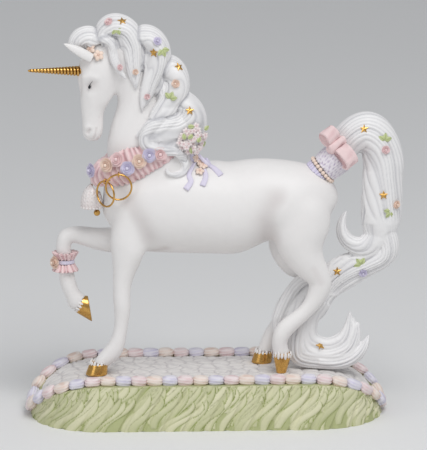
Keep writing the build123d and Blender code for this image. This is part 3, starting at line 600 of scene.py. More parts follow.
def tube(line, radii, sides=10):
    """A round cord through the points of a line, with a radius at each, closed at both ends."""
    line = np.asarray(line, float)
    runs = unit(np.gradient(line, axis=0))
    points = []
    across = np.cross(runs[0], (0.31, 0.52, 0.79))
    for place, run, radius in zip(line, runs, radii):
        across = unit(across - run * (across @ run))
        up = np.cross(run, across)
        for turn in math.tau * np.arange(sides) / sides:
            points.append(place + radius * (math.cos(turn) * across + math.sin(turn) * up))
    return points, capped(sides, len(line))


def curve(line, count):
    """A smooth line through a few points."""
    line = np.asarray(line, float)
    padded = np.concatenate([[2 * line[0] - line[1]], line, [2 * line[-1] - line[-2]]])
    made = []
    for at in np.linspace(0, len(line) - 1, count):
        knot = min(int(at), len(line) - 2)
        t = at - knot
        a, b, c, d = padded[knot:knot + 4]
        made.append(
            0.5 * (2 * b + (c - a) * t + (2 * a - 5 * b + 4 * c - d) * t**2 + (3 * b - a - 3 * c + d) * t**3)
        )
    return np.array(made)


enamel = painted("black enamel", (0.015, 0.015, 0.02), (0.01, 0.01, 0.01), 0.15, 0.2)
eye = touch(body_tree, -67.5, 196.0, -1) / MM
lash = np.array([touch(body_tree, x, z, -1) / MM for x, z in ((-67.9, 196.4), (-66.9, 198), (-65.6, 199.5))])
head_marks = []
for cheek in (np.array, mirrored):
    middle = cheek(eye)
    line = curve([cheek(place) for place in lash], 9)
    out = cheek(eye + np.array([0, -1, 0.15])) - middle
    head_marks.append(bead(middle * MM, (1.15 * MM, 0.8 * MM, 0.5 * MM), out, (0.35, 0, 1)))
    line = line + out * 0.15
    head_marks.append(tube(line * MM, np.linspace(0.26, 0.08, 9) * MM, 6))
eyes = heap("eyes", head_marks, enamel)


# The ears: leaves of white clay rolled thin, open towards the front. They are luted on under the forelock and
# blushed inside before the firing.
def clay_of(node):
    """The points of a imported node."""
    return np.array([vert.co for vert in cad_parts[node].data.vertices])


ear_coat = painted("ear bisque", (0.86, 0.84, 0.83), (0.72, 0.58, 0.54), 0.5, 0.015)
ear_columns = 22
ear_rows = 26
ear_radius = 4.3 * MM
ear_lift = np.array([0, 0, 2.4 * MM])
for node, length in (("near_ear", 1.0), ("far_ear", 0.7)):
    clay = clay_of(node)
    tip = clay[clay[:, 0].argmin()]
    root = clay[clay[:, 0] > clay[:, 0].max() - 2.5 * MM].mean(0)
    run = (tip - root + ear_lift) * length
    back, across, _ = axes(run, (0.5, 0, 1))
    along = np.linspace(0, 1, ear_rows)[:, None, None]
    turn = np.radians(np.linspace(-125, 125, ear_columns))[:, None]
    ways = np.cos(turn) * back + np.sin(turn) * across * 0.8
    leaf = ear_radius * (0.75 + 0.5 * along) * (1 - along**1.6) ** 0.8
    layers = []
    for high, grow in ((1, 1), (0.96, 0.72)):
        layers.append(root + run * along * high + (leaf * grow + 0.02 * MM) * ways)
    faces = bent_grid(ear_columns, ear_rows, False)
    inner = ear_columns * ear_rows
    faces += [tuple(inner + corner for corner in face[::-1]) for face in faces]
    for row in range(ear_rows - 1):
        for column in (0, ear_columns - 1):
            a = row * ear_columns + column
            b = a + ear_columns
            faces.append((a, b, b + inner, a + inner))
    ear = shape(node + "_leaf", np.concatenate(layers).reshape(-1, 3), faces, ear_coat)
    warm = np.repeat(0.9 - 0.6 * along.ravel(), ear_columns)
    stain(ear, np.concatenate([0 * warm, warm]))
    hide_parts(node)


# The horn: a long cone of clay twisted like rope while it was soft. It is luted to the brow, fired on with
# the body, then painted with gold and burnished.
def gilt(name, light, deep, roughness):
    """Burnished gold, a little worn: its shine wavers, and the hollows go dark brown as painted shade."""
    coat, nodes, links, pool, _, shine = ware(name, light, deep, 350.0, 3.0)
    shine.inputs["To Min"].default_value = roughness * 0.7
    shine.inputs["To Max"].default_value = roughness * 1.4
    shader = nodes["Principled BSDF"]
    shader.inputs["Metallic"].default_value = 1.0
    links.new(shine.outputs["Result"], shader.inputs["Roughness"])
    links.new(pool, shader.inputs["Base Color"])
    return coat


gold = gilt("burnished gold", (0.70, 0.41, 0.12), (0.18, 0.08, 0.015), 0.26)
horn_long = 32.6 * MM
horn_radius = 3.2 * MM
horn_turns = 17
horn_past = 2.3 * MM
clay = clay_of("horn")
horn_run = np.linalg.svd(clay - clay.mean(0), full_matrices=False)[2][0]
horn_run = horn_run if horn_run[0] < 0 else -horn_run
horn_root = clay[clay[:, 0].argmin()] - horn_run * (horn_long - horn_past)
along = np.linspace(0, 1, 281)[:, None]
turn = math.tau * np.arange(40) / 40
valley = 0.5 - 0.5 * np.cos(turn - math.tau * horn_turns * along)
radius = horn_radius * (1 - 0.74 * along) * (1 - 0.26 * valley**3)
radius *= np.sqrt(1 - np.maximum(0, along / 0.05 - 19) ** 2) + 0.001
place = (radius * np.cos(turn), radius * np.sin(turn), horn_long * along)
horn = shape("spiral_horn", spread(horn_root, axes(horn_run), *place), bent_grid(40, 281), gold)
# painted shade in the spiral valleys of the horn
stain(horn, valley.ravel() ** 4)
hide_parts("horn")

# The hooves: cast with the legs and gilded like the horn. The hair of each fetlock is white clay, carved in
# points that hang over the coronet.
HOOVES = (
    ("near_fore_hoof", (-62.9, -12, 32.5), (-0.2, 0, -1), 5.2),
    ("far_hind_hoof", (34.2, 13, 32.5), (-0.2, 0, -1), 5.1),
    ("near_hind_hoof", (43.9, -13, 37.8), (-0.05, 0, -1), 5.4),
    ("raised_hoof", (-73.4, 11, 62.5), (0.93, 0, -0.37), 5.0),
)
SOLE_SLANT = 0.45
feather_count = 15
feather_long = (1.7 * MM, 2.4 * MM)
feather_wide = 0.95 * MM
feather_thick = 0.55 * MM
feathers = []
for node, coronet, down, radius in HOOVES:
    hoof = cast(node + "_gilt", [node], 0.45, gold, 5)
    points, _ = read(hoof)
    stain(hoof, np.clip(ripple(points, 1.6, 11), 0, 1) * 0.25)
    coronet = np.array(coronet) * MM
    front, across, way = axes(down, (1, 0, 0.01))
    if node == "raised_hoof":
        off = points - coronet
        heel = off @ np.array([0.37, 0, 0.93]) / (radius * MM)
        put(hoof, points - way * (np.clip(off @ way, 0, None) * heel * SOLE_SLANT)[:, None])
    for number in range(feather_count):
        turn = math.tau * number / feather_count
        outward = math.cos(turn) * front + math.sin(turn) * across
        sizes = (feather_long[number % 2], feather_wide, feather_thick)
        middle = coronet + outward * (radius - 0.35) * MM + way * 0.7 * MM
        feathers.append(bead(middle, sizes, outward, way + outward * 0.12, 10, 6))
fetlocks = heap("fetlock_hair", feathers, bisque)


# The mane: heavy rolls of clay laid over the crest and combed with a pointed tool, so that every lock is
# grooved into strands along its run; cool grey painted shade sits in the grooves and between the locks.
def comb(points, line, strands, twist, seed=0, wander=1.0):
    """How deep a comb drawn along a line in millimetres cuts at each point, and its painted groove shade."""
    line = curve(np.array(line) * MM, 160)
    runs = unit(np.gradient(line, axis=0))
    sides = unit(np.array([0, 1, 0]) - runs * runs[:, 1:2])
    steps = run_of(line)
    nearest = nearest_two(points, line)[0]
    off = points - line[nearest]
    ways = (runs, sides, np.cross(runs, sides))
    past, side, up = (np.einsum("ij,ij->i", off, way[nearest]) for way in ways)
    run = (steps[nearest] + past) / steps[-1]
    turn = np.arctan2(up, side)
    turn = turn + wander * (0.3 * np.sin(2 * turn + seed) + 0.2 * np.sin(3 * turn + 2 * seed)) + twist * run
    turn = turn + 0.12 * np.sin(9 * run + seed)
    thick = np.clip(np.linalg.norm(off, axis=1) / (5 * MM), 0.15, 1)
    fine = 1 - np.abs(np.sin(strands * turn / 2)) ** 0.8
    broad = 1 - np.abs(np.sin(max(2, strands // 4) * turn / 2 + 0.7)) ** 0.5
    return (fine * 0.5 + broad * 0.9) * thick, fine**2 * 0.45 + broad**2 * 0.55


def combed(points, gaps, combs):
    """Cut and painted shade by the nearest lock's comb at each point, and how much further the next lock is."""
    owner = gaps.argmin(0)
    cut, groove_shade = np.zeros((2, len(points)))
    for number, tool in enumerate(combs):
        own = owner == number
        cut[own], groove_shade[own] = comb(points[own], *tool)
    return cut, groove_shade, np.diff(np.sort(gaps, axis=0)[:2], axis=0)[0]


def strand_roll(line, radii, count, sides):
    """A roll of clay along a smooth line in millimetres, drawn out between a few radii."""
    radii = np.interp(np.linspace(0, 1, count), np.linspace(0, 1, len(radii)), radii)
    return tube(curve(np.array(line) * MM, count), radii * MM, sides)


hair = painted("white hair", (0.87, 0.86, 0.86), (0.50, 0.50, 0.53), 0.5, 0.02, 220.0)
LOCKS = {
    "forelock": ((-58, 0, 219), (-64.4, -1, 223), (-70.8, -2, 223.5), (-75.4, -2.5, 220), (-76, -3, 211)),
    "poll_lock": (
        (-63.2, 0, 221.5), (-58, -1, 227.7), (-51.6, -2, 230.2), (-45.2, -4, 227.2),
        (-42.3, -6.5, 219.5), (-42.3, -8.5, 209.2), (-40.6, -10, 193.5),
    ),
    "upper_crest_lock": (
        (-47, 0, 221.5), (-39.4, -1.5, 223.6), (-31.9, -3, 222.8), (-27.8, -5.5, 216.2),
        (-29, -8, 206.7), (-33.1, -9.5, 196.3), (-36.5, -11, 180),
    ),
    "middle_crest_lock": (
        (-34.8, 0, 207.2), (-26.7, -1.5, 206.4), (-19.1, -3, 203.8), (-16.8, -5.5, 196.6),
        (-20.3, -8.5, 187.8), (-27.3, -10.5, 179.3), (-33, -11.5, 172.5),
    ),
    "lower_crest_lock": (
        (-24.9, 0, 188.8), (-14, -2, 184.5), (-9, -5, 177), (-16, -9, 172.5), (-27, -12.5, 171.5),
        (-37, -13.5, 168), (-35, -14.5, 161.5), (-25, -14, 159), (-13, -12, 158),
    ),
    "side_strand": (
        (-58, -7, 225.5), (-54.5, -9, 220), (-53.4, -10, 213), (-50.5, -10.5, 206), (-45.8, -10.5, 199.5),
    ),
    "far_mane": ((-38, 3, 220), (-28, 7, 208), (-24, 8, 194), (-20, 8, 180), (-14, 8, 172), (-31, 14, 159)),
}
ROLLS = (
    (
        ((-60, -1, 219), (-47, -2, 220), (-35, -3, 210), (-26, -4, 196), (-19, -5, 181), (-17, -6, 168)),
        (7, 7),
    ),
    (
        (
            (-14, -9, 187), (-23.5, -12.5, 181.5), (-30, -14.5, 175.5), (-35, -15.5, 168.5),
            (-34.5, -16.5, 162.5), (-27, -17, 160), (-17, -16, 159),
        ),
        (3, 4.4, 4.8, 4.6, 4, 3.4, 3),
    ),
    (((-14, -9, 178), (-22, -13, 174), (-29, -15, 168.5), (-27, -16, 164)), (4, 5, 4.5, 3)),
    (
        (
            (-67.5, -6.5, 219), (-64, -8, 222.5), (-60, -9, 224), (-56.5, -9.5, 223), (-54.3, -10, 220),
            (-53.2, -10, 214),
        ),
        (2, 2.6, 2.8, 2.8, 2.6, 2),
    ),
)
RINGLET = (
    (-17.5, 156.5), (-14.2, 152.5), (-13, 147.5), (-14.6, 143.3), (-18.6, 141.6), (-22.6, 142.6),
    (-24, 145.4),
)
FORELOCK_LIFT = np.array([0.2, 0, 0.65])
forelock_front = -70 * MM
forelock_hang = 217 * MM
strand_gap = 0.8 * MM
mane_cut = 0.9 * MM
parting_cut = 0.5 * MM
rolls = [strand_roll(line, radii, 40, 20) for line, radii in ROLLS]
rest = tree_of("torso", "neck", "collar_ruffle", "lower_crest_lock")
hook = []
for x, z in RINGLET:
    place, out = laid(x, z, rest)
    hook.append(place + out * 1.2 * MM)
rolls.append(tube(curve(hook, 40), np.linspace(3.2, 1.2, 40) * MM, 16))
mane = cast("mane_combed", list(LOCKS), 0.45, hair, 5, lumps=rolls)
points, normals = read(mane)
gaps = []
combs = []
for number, (node, line) in enumerate(LOCKS.items()):
    tree = tree_of(node)
    gaps.append([tree.find_nearest(point)[3] for point in points])
    strands = 10 if node == "side_strand" else 16
    combs.append((line, strands, 0.2 if node == "lower_crest_lock" else 1.4, number))
cut, groove_shade, apart = combed(points, np.array(gaps), combs)
parting = np.exp(-((apart / strand_gap) ** 2))
points = points - normals * (cut * mane_cut + parting * parting_cut)[:, None]
drip = np.clip(forelock_hang - points[:, 2], 0, 1) * (points[:, 0] < forelock_front)
put(mane, points + drip[:, None] * FORELOCK_LIFT)
# painted shade in the comb's grooves and along the partings between locks
stain(mane, np.maximum(groove_shade, parting * 0.8))

# The tail: one thick fall of the same combed clay that arches from the dock, turns in a curl, sweeps between
# the hind legs and ends in two licks on the path, where it helps to carry the figure in the kiln.
TAIL = (
    (
        22, 3.0, None,
        (
            (61, 0, 138.6), (69.6, 0, 145.3), (77.4, 0, 154), (83.4, 0, 161.8), (92, 0, 166),
            (99.6, 0, 160.6), (102.6, 0, 151), (102.5, 0, 136), (102, 0, 120), (103, 0, 105), (103, 0, 93),
            (94, 0.3, 88), (83.5, 0.5, 84), (74.2, 0.5, 78), (67.3, 0.5, 69), (60.9, 0, 57),
        ),
    ),
    (
        14, 1.5, None,
        (
            (102, 0, 111.4), (98.6, -0.5, 102.4), (90.5, -1, 98.3), (82.9, -1, 101.2), (78.9, -1, 108.4),
            (81.8, -1, 119.7),
        ),
    ),
    (
        12, 0.6, (5, 5.6, 6, 5.6, 5, 3.2, 0.6),
        (
            (69, -1, 66), (60.5, -1, 55), (60, -1.5, 43.5), (69, -2, 39), (78, -2, 42), (82.5, -1.5, 49.5),
            (83.9, -1, 59.5),
        ),
    ),
    (
        12, 0.6, (5.5, 6, 6.2, 6, 5, 3.6, 0.8),
        (
            (60, -1, 58), (56, -1.5, 46), (58.5, -2.5, 36.5), (70, -3, 33.5), (81.5, -3, 37), (87, -2, 44.5),
            (88.8, -2, 53),
        ),
    ),
    (
        12, 0.6, (5, 5.4, 5, 4.6, 4.6, 4.2, 0.6),
        (
            (56, -1, 53), (52.5, -2.5, 42), (54, -3.5, 33), (66, -4.5, 30.5), (79, -4.5, 30.5),
            (88.5, -3.5, 35), (94.4, -3, 45),
        ),
    ),
    (
        10, 0.8, (4, 4.6, 4.6, 4, 1.6),
        ((73, 3, 80), (57, 3, 77), (47.5, 3.5, 66), (41.8, 3.5, 55), (40.5, 3, 46)),
    ),
    (10, 0.8, (4.5, 5, 4.6, 2.4), ((70, 2, 72), (60, 2, 68), (52, 2.5, 58), (47, 2.5, 47))),
)
TAIL_NODES = ["tail_arch", "tail_fall", "tail_sweep", "tail_curl", "tail_fan", "tail_tip"]
tail_cut = 1.1 * MM
rolls = [strand_roll(line, radii, 60, 18) for *_, radii, line in TAIL if radii]
tail = cast("tail_combed", TAIL_NODES, 0.5, hair, 5, lumps=rolls)
points, normals = read(tail)
gaps = []
combs = []
for number, (strands, twist, _, line) in enumerate(TAIL):
    gaps.append(nearest_two(points, curve(np.array(line) * MM, 60))[1])
    combs.append((line, strands, twist, number + 2, 0.5))
cut, groove_shade, apart = combed(points, np.array(gaps), combs)
clear = 1 - np.exp(-((apart / strand_gap) ** 2))
put(tail, points - normals * (cut * clear * tail_cut)[:, None])
# painted shade in the tail's combed grooves
stain(tail, groove_shade * clear)


# The collar: a strip of clay crimped into a pink ruffle and wrapped round the root of the neck, with roses
# made petal by petal and pressed on while it was wet.
def pleat(made, middle, axle, count, depth, seed=0):
    """Crimps a band into folds about an axle through a middle in millimetres, deepest at its edges, with
    painted shade in the folds.
    """
    points, normals = read(made)
    front, across, up = axes(axle, (1, 0, 0.01))
    off = points - np.asarray(middle) * MM
    turn = np.arctan2(off @ across, off @ front)
    level = off @ up
    edge = np.abs(level) / np.abs(level).max()
    wander = 0.9 * np.sin(5 * turn + seed) + 0.8 * np.sin(11 * turn + 2 * seed)
    wander += 0.5 * ripple(points, 9.0, seed + 40)
    fold = 0.5 - 0.5 * np.sin(count * turn + wander + level / (3.2 * MM))
    put(made, points - normals * (fold**1.5 * (0.6 + 0.4 * edge) * depth * MM)[:, None])
    # painted shade in the folds
    stain(made, fold**2 * 0.8)


def facing(island):
    """The middle of a flower's foot, the way that it faces and its longest way."""
    middle = island.mean(0)
    ways = np.linalg.svd(island - middle, full_matrices=False)[2]
    out = ways[2]
    height = (island - middle) @ out
    reach = np.linalg.norm(island - middle - height[:, None] * out, axis=1)
    if reach[height > 0].mean() > reach[height < 0].mean():
        out = -out
    return middle + out * ((island - middle) @ out).min(), out, ways[0]


def rose(foot, out, radius, height, seed):
    """A rose: rings of cupped petals round a bud."""
    pick = random.Random(seed)
    along, across, out = axes(out, (0.3, 0.2, 1))
    v = np.linspace(0, 1, 6)[:, None]
    u = np.linspace(-1, 1, 7)
    lumps = []
    for count, start, finish, low, top, lap in (
        (5, 0.25, 1.0, 0.05, 0.5, 0.82),
        (5, 0.22, 0.74, 0.2, 0.82, 0.8),
        (4, 0.16, 0.44, 0.35, 1.0, 0.95),
    ):
        first = pick.uniform(0, math.tau)
        reach = radius * (start + (finish - start) * v**0.8 * (1 - 0.2 * u * u))
        rise = height * (low + (top - low) * (v - 0.25 * v**4) * (1 - 0.12 * u * u))
        for petal in range(count):
            turn = first + petal * math.tau / count + u * lap * (0.65 + 0.35 * v)
            points = spread(foot, (along, across, out), reach * np.cos(turn), reach * np.sin(turn), rise)
            # painted shade at the foot of each petal, tucked in among the others
            lumps.append((points, bent_grid(7, 6, False), np.repeat((1 - v) ** 1.5, 7)))
    for lift, wide, tall in ((0.62, 0.26, 0.36), (0.16, 0.62, 0.3)):
        sizes = (radius * wide, radius * wide, height * tall)
        lumps.append(bead(foot + out * height * lift, sizes, out, along))
    return lumps


rose_radius = 4.4 * MM
rose_height = 3.9 * MM


def collar_rose(island, number):
    """A full rose in the place of a packed one."""
    foot, out, _ = facing(island)
    return rose(foot, out, rose_radius, rose_height, number)


ruffle = cast("collar_crimped", ["collar_ruffle"], 0.5, COATS["pink"], 4)
points, _ = read(ruffle)
collar_middle = np.array([-38, 0, 152.4])
collar_up = np.array([-0.292, 0, 0.956])
chest_edge = -45 * MM
chest_run = 18 * MM
narrow_above = 0.6
narrow_below = 0.3
level = (points - collar_middle * MM) @ collar_up
front = np.clip((chest_edge - points[:, 0]) / chest_run, 0, 1)
front = front * front * (3 - 2 * front)
narrow = np.where(level > 0, narrow_above, narrow_below)
put(ruffle, points - (level * front * narrow)[:, None] * collar_up)
pleat(ruffle, collar_middle, collar_up, 36, 1.5)
for colour, coat in COATS.items():
    remade(f"collar_roses_{colour}_petals", f"collar_roses_{colour}", coat, collar_rose)

# The bell: a thin thrown cup with a pearled lip, hung on a stub under the collar; its gilded clapper leans
# out towards the chest and is fired fast.
pearl = painted("pearl glaze", (0.86, 0.82, 0.81), (0.74, 0.62, 0.60), 0.25, 0.04)
bell_top = np.array([-66.4, -3, 138]) * MM
bell_tall = 15 * MM
lip_radius = 5.9 * MM
lip_drop = 14.2 * MM
lip_count = 18
lip_bead = 0.85 * MM
clapper_radius = 1.9 * MM
rod_radius = 0.6 * MM
dent_deep = 0.4 * MM
cup = cast("bell_cup", ["bell"], 0.35, pearl, 2)
points, normals = read(cup)
dents = np.clip(ripple(points, 2.2, 17), 0, 1)
put(cup, points - normals * (dents * dent_deep)[:, None])
flush = np.clip((bell_top[2] - points[:, 2]) / bell_tall, 0, 1) ** 4
# the pink towards the lip is the bell's own colour; the dents get painted shade
stain(cup, np.maximum(flush * 0.7, dents * 0.45))
lip_pearls = []
for turn in math.tau * np.arange(lip_count) / lip_count:
    place = bell_top + np.array([lip_radius * math.cos(turn), lip_radius * math.sin(turn), -lip_drop])
    lip_pearls.append(bead(place, (lip_bead,) * 3))
lip_trim = heap("bell_pearls", lip_pearls, pearl)
clapper_foot = bell_top + np.array([3.1, 0, -17.9]) * MM
rod = np.linspace(bell_top - np.array([0, 0, 1 * MM]), clapper_foot, 6)
ball = bead(clapper_foot, (clapper_radius,) * 3, sides=20, rings=12)
clapper = heap("gilt_clapper", [ball, tube(rod, [rod_radius] * 6)], gold)
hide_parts("clapper")

# The two rings: closed loops of gold wire, one linked through the other, each hanging in a wire eye that was
# pushed into the collar.
wire = gilt("gold wire", (0.66, 0.38, 0.11), (0.3, 0.15, 0.04), 0.2)
ring_radius = 7.4 * MM
wire_radius = 0.55 * MM
turn = (math.tau * np.arange(97) / 96)[:, None]
round_wire = math.tau * np.arange(14) / 14
reach = ring_radius + wire_radius * np.cos(round_wire)
place = (reach * np.cos(turn), reach * np.sin(turn), wire_radius * np.sin(round_wire))
for node in ("side_ring", "front_ring"):
    middle = np.mean(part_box(node), axis=0)
    flat = np.linalg.svd(clay_of(node) - middle, full_matrices=False)[2][2]
    ring_points = spread(middle, axes(flat), *place)
    ring = shape(node + "_wire", ring_points, bent_grid(14, 97), wire, "linked_rings")
    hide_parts(node)
for node in ("side_eye", "front_eye"):
    eyelet = cast(node + "_wire", [node], 0.2, wire, 2)

# The garter: two crimped frills of pink clay with a lavender ribbon between them, wrapped round the raised
# leg while wet, and one peach rose pressed on in front.
frills = cast("garter_frills", ["garter_ruffles"], 0.4, COATS["pink"], 3)
pleat(frills, (-81.5, 11, 88.2), (0, 0, 1), 15, 1.3, 2)
garter = cast("garter_ribbon", ["garter_band"], 0.35, COATS["lavender"], 3)
garter_front = (-0.87, -0.5, 0)
garter_rose_radius = 4.1 * MM
garter_rose_height = 4.6 * MM
foot = facing(solids_of("garter_rose")[0])[0]
petals = rose(foot, garter_front, garter_rose_radius, garter_rose_height, 3)
garter_rose = heap("garter_rose_petals", petals, COATS["peach"])
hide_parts("garter_rose")

# The dressing of the tail: a ribbon, a row of pearls and a lace band wrapped round the dock, and a bow of
# pink ribbon folded over them.
DOCK = np.array([63.6, 0, 140.5])
DOCK_RUN = np.array([0.776, 0, 0.631])
LACE_STRETCH = 1.9
dock_bead = 1.15 * MM
hole_deep = 0.6 * MM
dock = cast("dock_ribbon", ["tail_ribbon"], 0.35, COATS["lavender"], 3)
pleat(dock, DOCK, DOCK_RUN, 26, 0.35, 1)


def dock_pearl(island, number):
    """A bead in the place of a packed pearl."""
    return [bead(island.mean(0), (dock_bead,) * 3)]


remade("dock_pearls", "tail_pearls", COATS["peach"], dock_pearl)
lace_coat = painted("pale lace", (0.84, 0.80, 0.85), (0.60, 0.52, 0.66), 0.6)
lace = cast("dock_lace", ["tail_lace"], 0.35, lace_coat, 2)
points, normals = read(lace)
level = (points - DOCK * MM) @ DOCK_RUN
level -= (level.min() + level.max()) / 2
points = points + np.maximum(level, 0)[:, None] * LACE_STRETCH * DOCK_RUN
holes = np.clip(ripple(points, 1.7, 21), 0, 1)
put(lace, points - normals * (holes * hole_deep)[:, None])
# painted shade in the pressed holes of the lace
stain(lace, holes)
BOW = np.array([75.5, -8.5, 161]) * MM
BOW_RUN = np.array([0.605, -0.252, -0.756])
BOW_TURN = 0.55
BOW_SHORTER = 0.3
bow_back = 1 * MM
crease_deep = 0.5 * MM
for name, node in (("bow_ribbon", "bow_loops"), ("bow_tie", "bow_knot")):
    bow = cast(name, [node], 0.35, COATS["pink"], 6)
    points, normals = read(bow)
    points = points - np.minimum((points - BOW) @ BOW_RUN, 0)[:, None] * BOW_SHORTER * BOW_RUN
    depth = (points - BOW) @ np.cross(BOW_RUN, DOCK_RUN)
    points = points + (depth * BOW_TURN - bow_back)[:, None] * DOCK_RUN
    crease = np.clip(ripple(points, 5.0, 31), 0, 1)
    put(bow, points - normals * (crease * crease_deep)[:, None])
    # painted shade in the creases of the ribbon
    stain(bow, crease * 0.5)


# The bouquet at the withers: open blossoms and leaves bunched under the last lock, over a lavender ribbon
# whose ends are laid down the shoulder.
def open_flower(foot, out, radius, seed, petals=5):
    """An open flower of round dished petals with a raised heart."""
    pick = random.Random(seed)
    along, across, out = axes(out, (0.3, 0.2, 1))
    first = pick.uniform(0, math.tau)
    lumps = []
    for petal in range(petals):
        turn = first + petal * math.tau / petals
        way = math.cos(turn) * along + math.sin(turn) * across
        middle = foot + radius * (0.58 * way + 0.16 * out)
        sizes = radius * np.array([0.46, 0.4, 0.17])
        points, faces = bead(middle, sizes, out + 0.3 * way, way, 12, 6)
        reach = np.linalg.norm(points - foot, axis=1) / radius
        lumps.append((points, faces, np.clip(0.8 - reach, 0, 1)))
    heart, faces = bead(foot + out * radius * 0.26, radius * np.array([0.2, 0.2, 0.16]), out, along, 10, 6)
    lumps.append((heart, faces, np.full(len(heart), 0.8)))
    return lumps


def leaf_blade(foot, out, along, length):
    """A small pointed leaf with a drawn midrib, its edge down on what carries it."""
    v = np.linspace(0, 1, 9)[:, None]
    u = np.linspace(-1, 1, 7)
    half = length * 0.33 * np.sin(math.pi * v**0.8) ** 0.8 + 0.01 * MM
    lift = 0.75 * MM * (1 - u * u) * np.sin(math.pi * np.minimum(v + 0.12, 1))
    lift += 0.1 * MM - 0.35 * MM * np.exp(-((u / 0.2) ** 2))
    points = spread(foot, axes(out, along), length * v, u * half, lift)
    # painted shade along the drawn midrib groove
    return points, bent_grid(7, 9, False), np.tile(0.8 * np.exp(-((u / 0.25) ** 2)), 9)


def band(line, widths, across, thickness):
    """A flat ribbon along a line, with a half width at each point and a direction across it."""
    points = []
    for place, width, run in zip(line, widths, unit(np.gradient(line, axis=0))):
        side = unit(across - run * (across @ run))
        face = np.cross(run, side)
        for turn in math.tau * np.arange(12) / 12:
            points.append(place + side * width * math.cos(turn) + face * thickness / 2 * math.sin(turn))
    return points, capped(12, len(line))


green = painted("leaf green", (0.57, 0.63, 0.33), (0.36, 0.43, 0.16))
blush = painted("blush white", (0.88, 0.80, 0.79), (0.80, 0.56, 0.58))
BUNCH = np.array([-8, 162.3])
BUNCH_HALF = np.array([9.6, 8])
blossom_radius = 2.1 * MM
sprig_long = 4 * MM
posy_radius = 2.7 * MM
bunch_tree = tree_of("lower_crest_lock", "torso", "neck", "bouquet_blossoms")
blossoms = []
sprigs = []
for row in range(7):
    for column in range(8):
        x = -16.5 + 2.6 * column + 1.3 * (row % 2) + rng.uniform(-0.6, 0.6)
        z = 154.8 + 2.5 * row + rng.uniform(-0.6, 0.6)
        if np.linalg.norm((np.array([x, z]) - BUNCH) / BUNCH_HALF) > 1:
            continue
        place, out = laid(x, z, bunch_tree)
        out = out + np.array([0.1, -0.6, 0.2])
        if (row + 2 * column) % 5 == 0:
            turn = rng.uniform(0, math.tau)
            way = (math.cos(turn), 0, math.sin(turn))
            sprigs.append(leaf_blade(place + out * 0.8 * MM, out, way, sprig_long))
        else:
            blossoms += open_flower(place + out * 0.3 * MM, out, blossom_radius, 10 * row + column)
nest = bead(np.array([-8.5, -9, 163]) * MM, (7.5 * MM, 8 * MM, 4.5 * MM), (0.2, -1, 0.1), (0, 0, 1), 24, 14)
bouquet = heap("bouquet_petals", [nest, *blossoms], blush)
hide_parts("bouquet_blossoms")
greenery = heap("bouquet_greenery", sprigs, green)
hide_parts("bouquet_leaves")
RIBBONS = (
    ((-6, 151), (-8.5, 146), (-10.5, 141), (-9.5, 137), (-12.5, 132.5)),
    ((-4, 150), (-2.2, 145), (-0.8, 140), (-2.8, 134.5)),
    ((-2, 150), (2, 146.5), (5, 144), (8, 140.5)),
    ((-7, 158), (-9, 154), (-8, 150), (-5, 150)),
    ((-1, 157), (1.5, 153), (0, 149.5), (-4, 150)),
)
streamer_wide = np.interp(np.linspace(0, 1, 24), (0, 0.6, 1), (0.9, 1.5, 1.8)) * MM
tails = []
for places in RIBBONS:
    line = []
    for x, z in places:
        place, out = laid(x, z, body_tree)
        line.append(place + out * 0.6 * MM)
    tails.append(band(curve(line, 24), streamer_wide, (0.9, 0.1, 0.3), 1.1 * MM))
streamers = heap("bouquet_streamers", tails, COATS["lavender"])
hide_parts("bouquet_ribbon")
cluster = []
for number, (x, z) in enumerate(((-4.5, 153.5), (-1.8, 150.5), (-5.4, 148.5), (-2.4, 146), (-4.2, 142.5))):
    place, out = laid(x, z, body_tree)
    cluster += open_flower(place + out * 1.2 * MM, out, posy_radius, 40 + number)
posy = heap("bouquet_posy", cluster, COATS["peach"])


# The scatter in mane and tail: gilded stars and rosebuds with leaves, each stuck down with slip, and two
# peach flowers at the temple.
def star_lump(foot, out, radius, thickness):
    """A five-pointed star with a raised middle."""
    up, across, out = axes(out)
    points = [foot + out * thickness]
    for level, grow in ((thickness * 0.55, 1.0), (0, 1.04)):
        for arm in range(10):
            reach = radius * grow * (0.45 if arm % 2 else 1)
            turn = arm * math.pi / 5
            points.append(foot + reach * (math.cos(turn) * up + math.sin(turn) * across) + out * level)
    faces = []
    for arm in range(10):
        after = (arm + 1) % 10
        faces.append((0, 1 + arm, 1 + after))
        faces.append((1 + arm, 11 + arm, 11 + after, 1 + after))
    return points, faces


hair_tree = tree_of(mane, tail)
star_radius = 2.7 * MM
star_thick = 1.1 * MM
bud_radius = 2.6 * MM
bud_height = 2.4 * MM
leaf_long = 4.5 * MM
temple_radius = 3.3 * MM
SPRIG_WAYS = (-1, -1, 1, 1, 1, -1)


def on_hair(foot, out):
    """The foot of a small piece, brought along its facing onto the combed hair."""
    hit = hair_tree.ray_cast(Vector(foot + out * 9 * MM), Vector(-out), 12 * MM)
    return foot if hit[0] is None else np.array(hit[0])


def star(island, number):
    """A star on the hair in the place of a packed one."""
    foot, out, _ = facing(island)
    return [star_lump(on_hair(foot, out), out, star_radius, star_thick)]


def rosebud(island, number):
    """A small rose on the hair in the place of a packed bud."""
    foot, out, _ = facing(island)
    return rose(on_hair(foot, out), out, bud_radius, bud_height, 20 + number)


def leaf_trio(island, number):
    """Three leaves fanned out on the hair in the place of a packed one, turned up or down."""
    _, out, along = facing(island)
    out = out if out[1] < 0 else -out
    along = along * np.sign(along[2]) * SPRIG_WAYS[number]
    sideways = np.cross(out, along)
    foot = on_hair(island.mean(0), out) - along * 2 * MM
    ways = [math.cos(lean) * along + math.sin(lean) * sideways for lean in (-1.1, 0, 1.1)]
    return [leaf_blade(foot, out, way, leaf_long) for way in ways]


def temple_flower(island, number):
    """An open flower in the place of a packed one, turned outward."""
    _, out, _ = facing(island)
    return open_flower(island.mean(0), out if out[1] < 0 else -out, temple_radius, 60 + number)


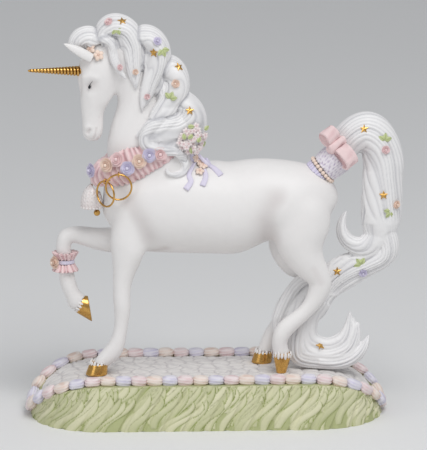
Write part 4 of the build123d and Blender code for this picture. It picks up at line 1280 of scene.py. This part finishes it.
gilt_stars = remade("gilt_stars", "gold_stars", gold, star)
gilt_stars.data.polygons.foreach_set("use_smooth", [False] * len(gilt_stars.data.polygons))
for colour, coat in COATS.items():
    remade(f"rosebuds_{colour}_petals", f"rosebuds_{colour}", coat, rosebud)
remade("rosebud_greenery", "rosebud_leaves", green, leaf_trio)
strands = tree_of("side_strand", "poll_lock", "upper_crest_lock", "neck")
for colour, x, z in (("pink", -50.2, 204.9), ("peach", -41.2, 202.2), ("pink", -34.5, 187.6)):
    place, out = laid(x, z, strands)
    bud = heap(f"strand_bud_{int(-x)}", rose(place, out, 1.9 * MM, 1.8 * MM, int(z)), COATS[colour])
remade("temple_petals", "temple_blossoms", COATS["peach"], temple_flower)

# The floor, light and camera: a pale table under soft window light, seen through a long lens from a little
# above, as a picture of a shelf piece is taken.
floor = shape(
    "floor",
    [(-4, -4, 0), (4, -4, 0), (4, 4, 0), (-4, 4, 0)],
    [(0, 1, 2, 3)],
    painted("pale table", (0.84, 0.84, 0.84), (0.7, 0.7, 0.7), 0.8, 0.01, 3.0),
)
floor.parent = None
floor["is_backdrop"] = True


def lamp(name, place, aim, size, power):
    """A square soft light."""
    data = bpy.data.lights.new(name, "AREA")
    data.energy = power
    data.size = size
    made = bpy.data.objects.new(name, data)
    bpy.context.collection.objects.link(made)
    made.location = place
    made.rotation_euler = (Vector(aim) - Vector(place)).to_track_quat("-Z", "Y").to_euler()
    made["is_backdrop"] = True


lamp("window", (0.35, -0.9, 1.5), (0, 0, 0.1), 0.9, 15)
lamp("fill", (-1.2, -1.0, 0.7), (0, 0, 0.12), 0.8, 3.5)
room = bpy.data.worlds.new("room")
room.use_nodes = True
room.node_tree.nodes["Background"].inputs["Color"].default_value = (0.95, 0.97, 1.0, 1)
room.node_tree.nodes["Background"].inputs["Strength"].default_value = 0.4
bpy.context.scene.world = room
bpy.context.scene.view_settings.view_transform = "Standard"

aim = Vector((4.35, 0, 111.4)) * MM
away = 4.0
turn = math.radians(-2.5)
tilt = math.radians(13)
seen = 261 * MM
lens = bpy.data.cameras.new("camera")
lens.sensor_width = 36
lens.lens = lens.sensor_width * away / seen
camera = bpy.data.objects.new("camera", lens)
bpy.context.collection.objects.link(camera)
camera.location = aim + away * Vector(
    (math.sin(turn) * math.cos(tilt), -math.cos(turn) * math.cos(tilt), math.sin(tilt))
)
camera.rotation_euler = (aim - camera.location).to_track_quat("-Z", "Y").to_euler()
bpy.context.scene.camera = camera

low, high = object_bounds()
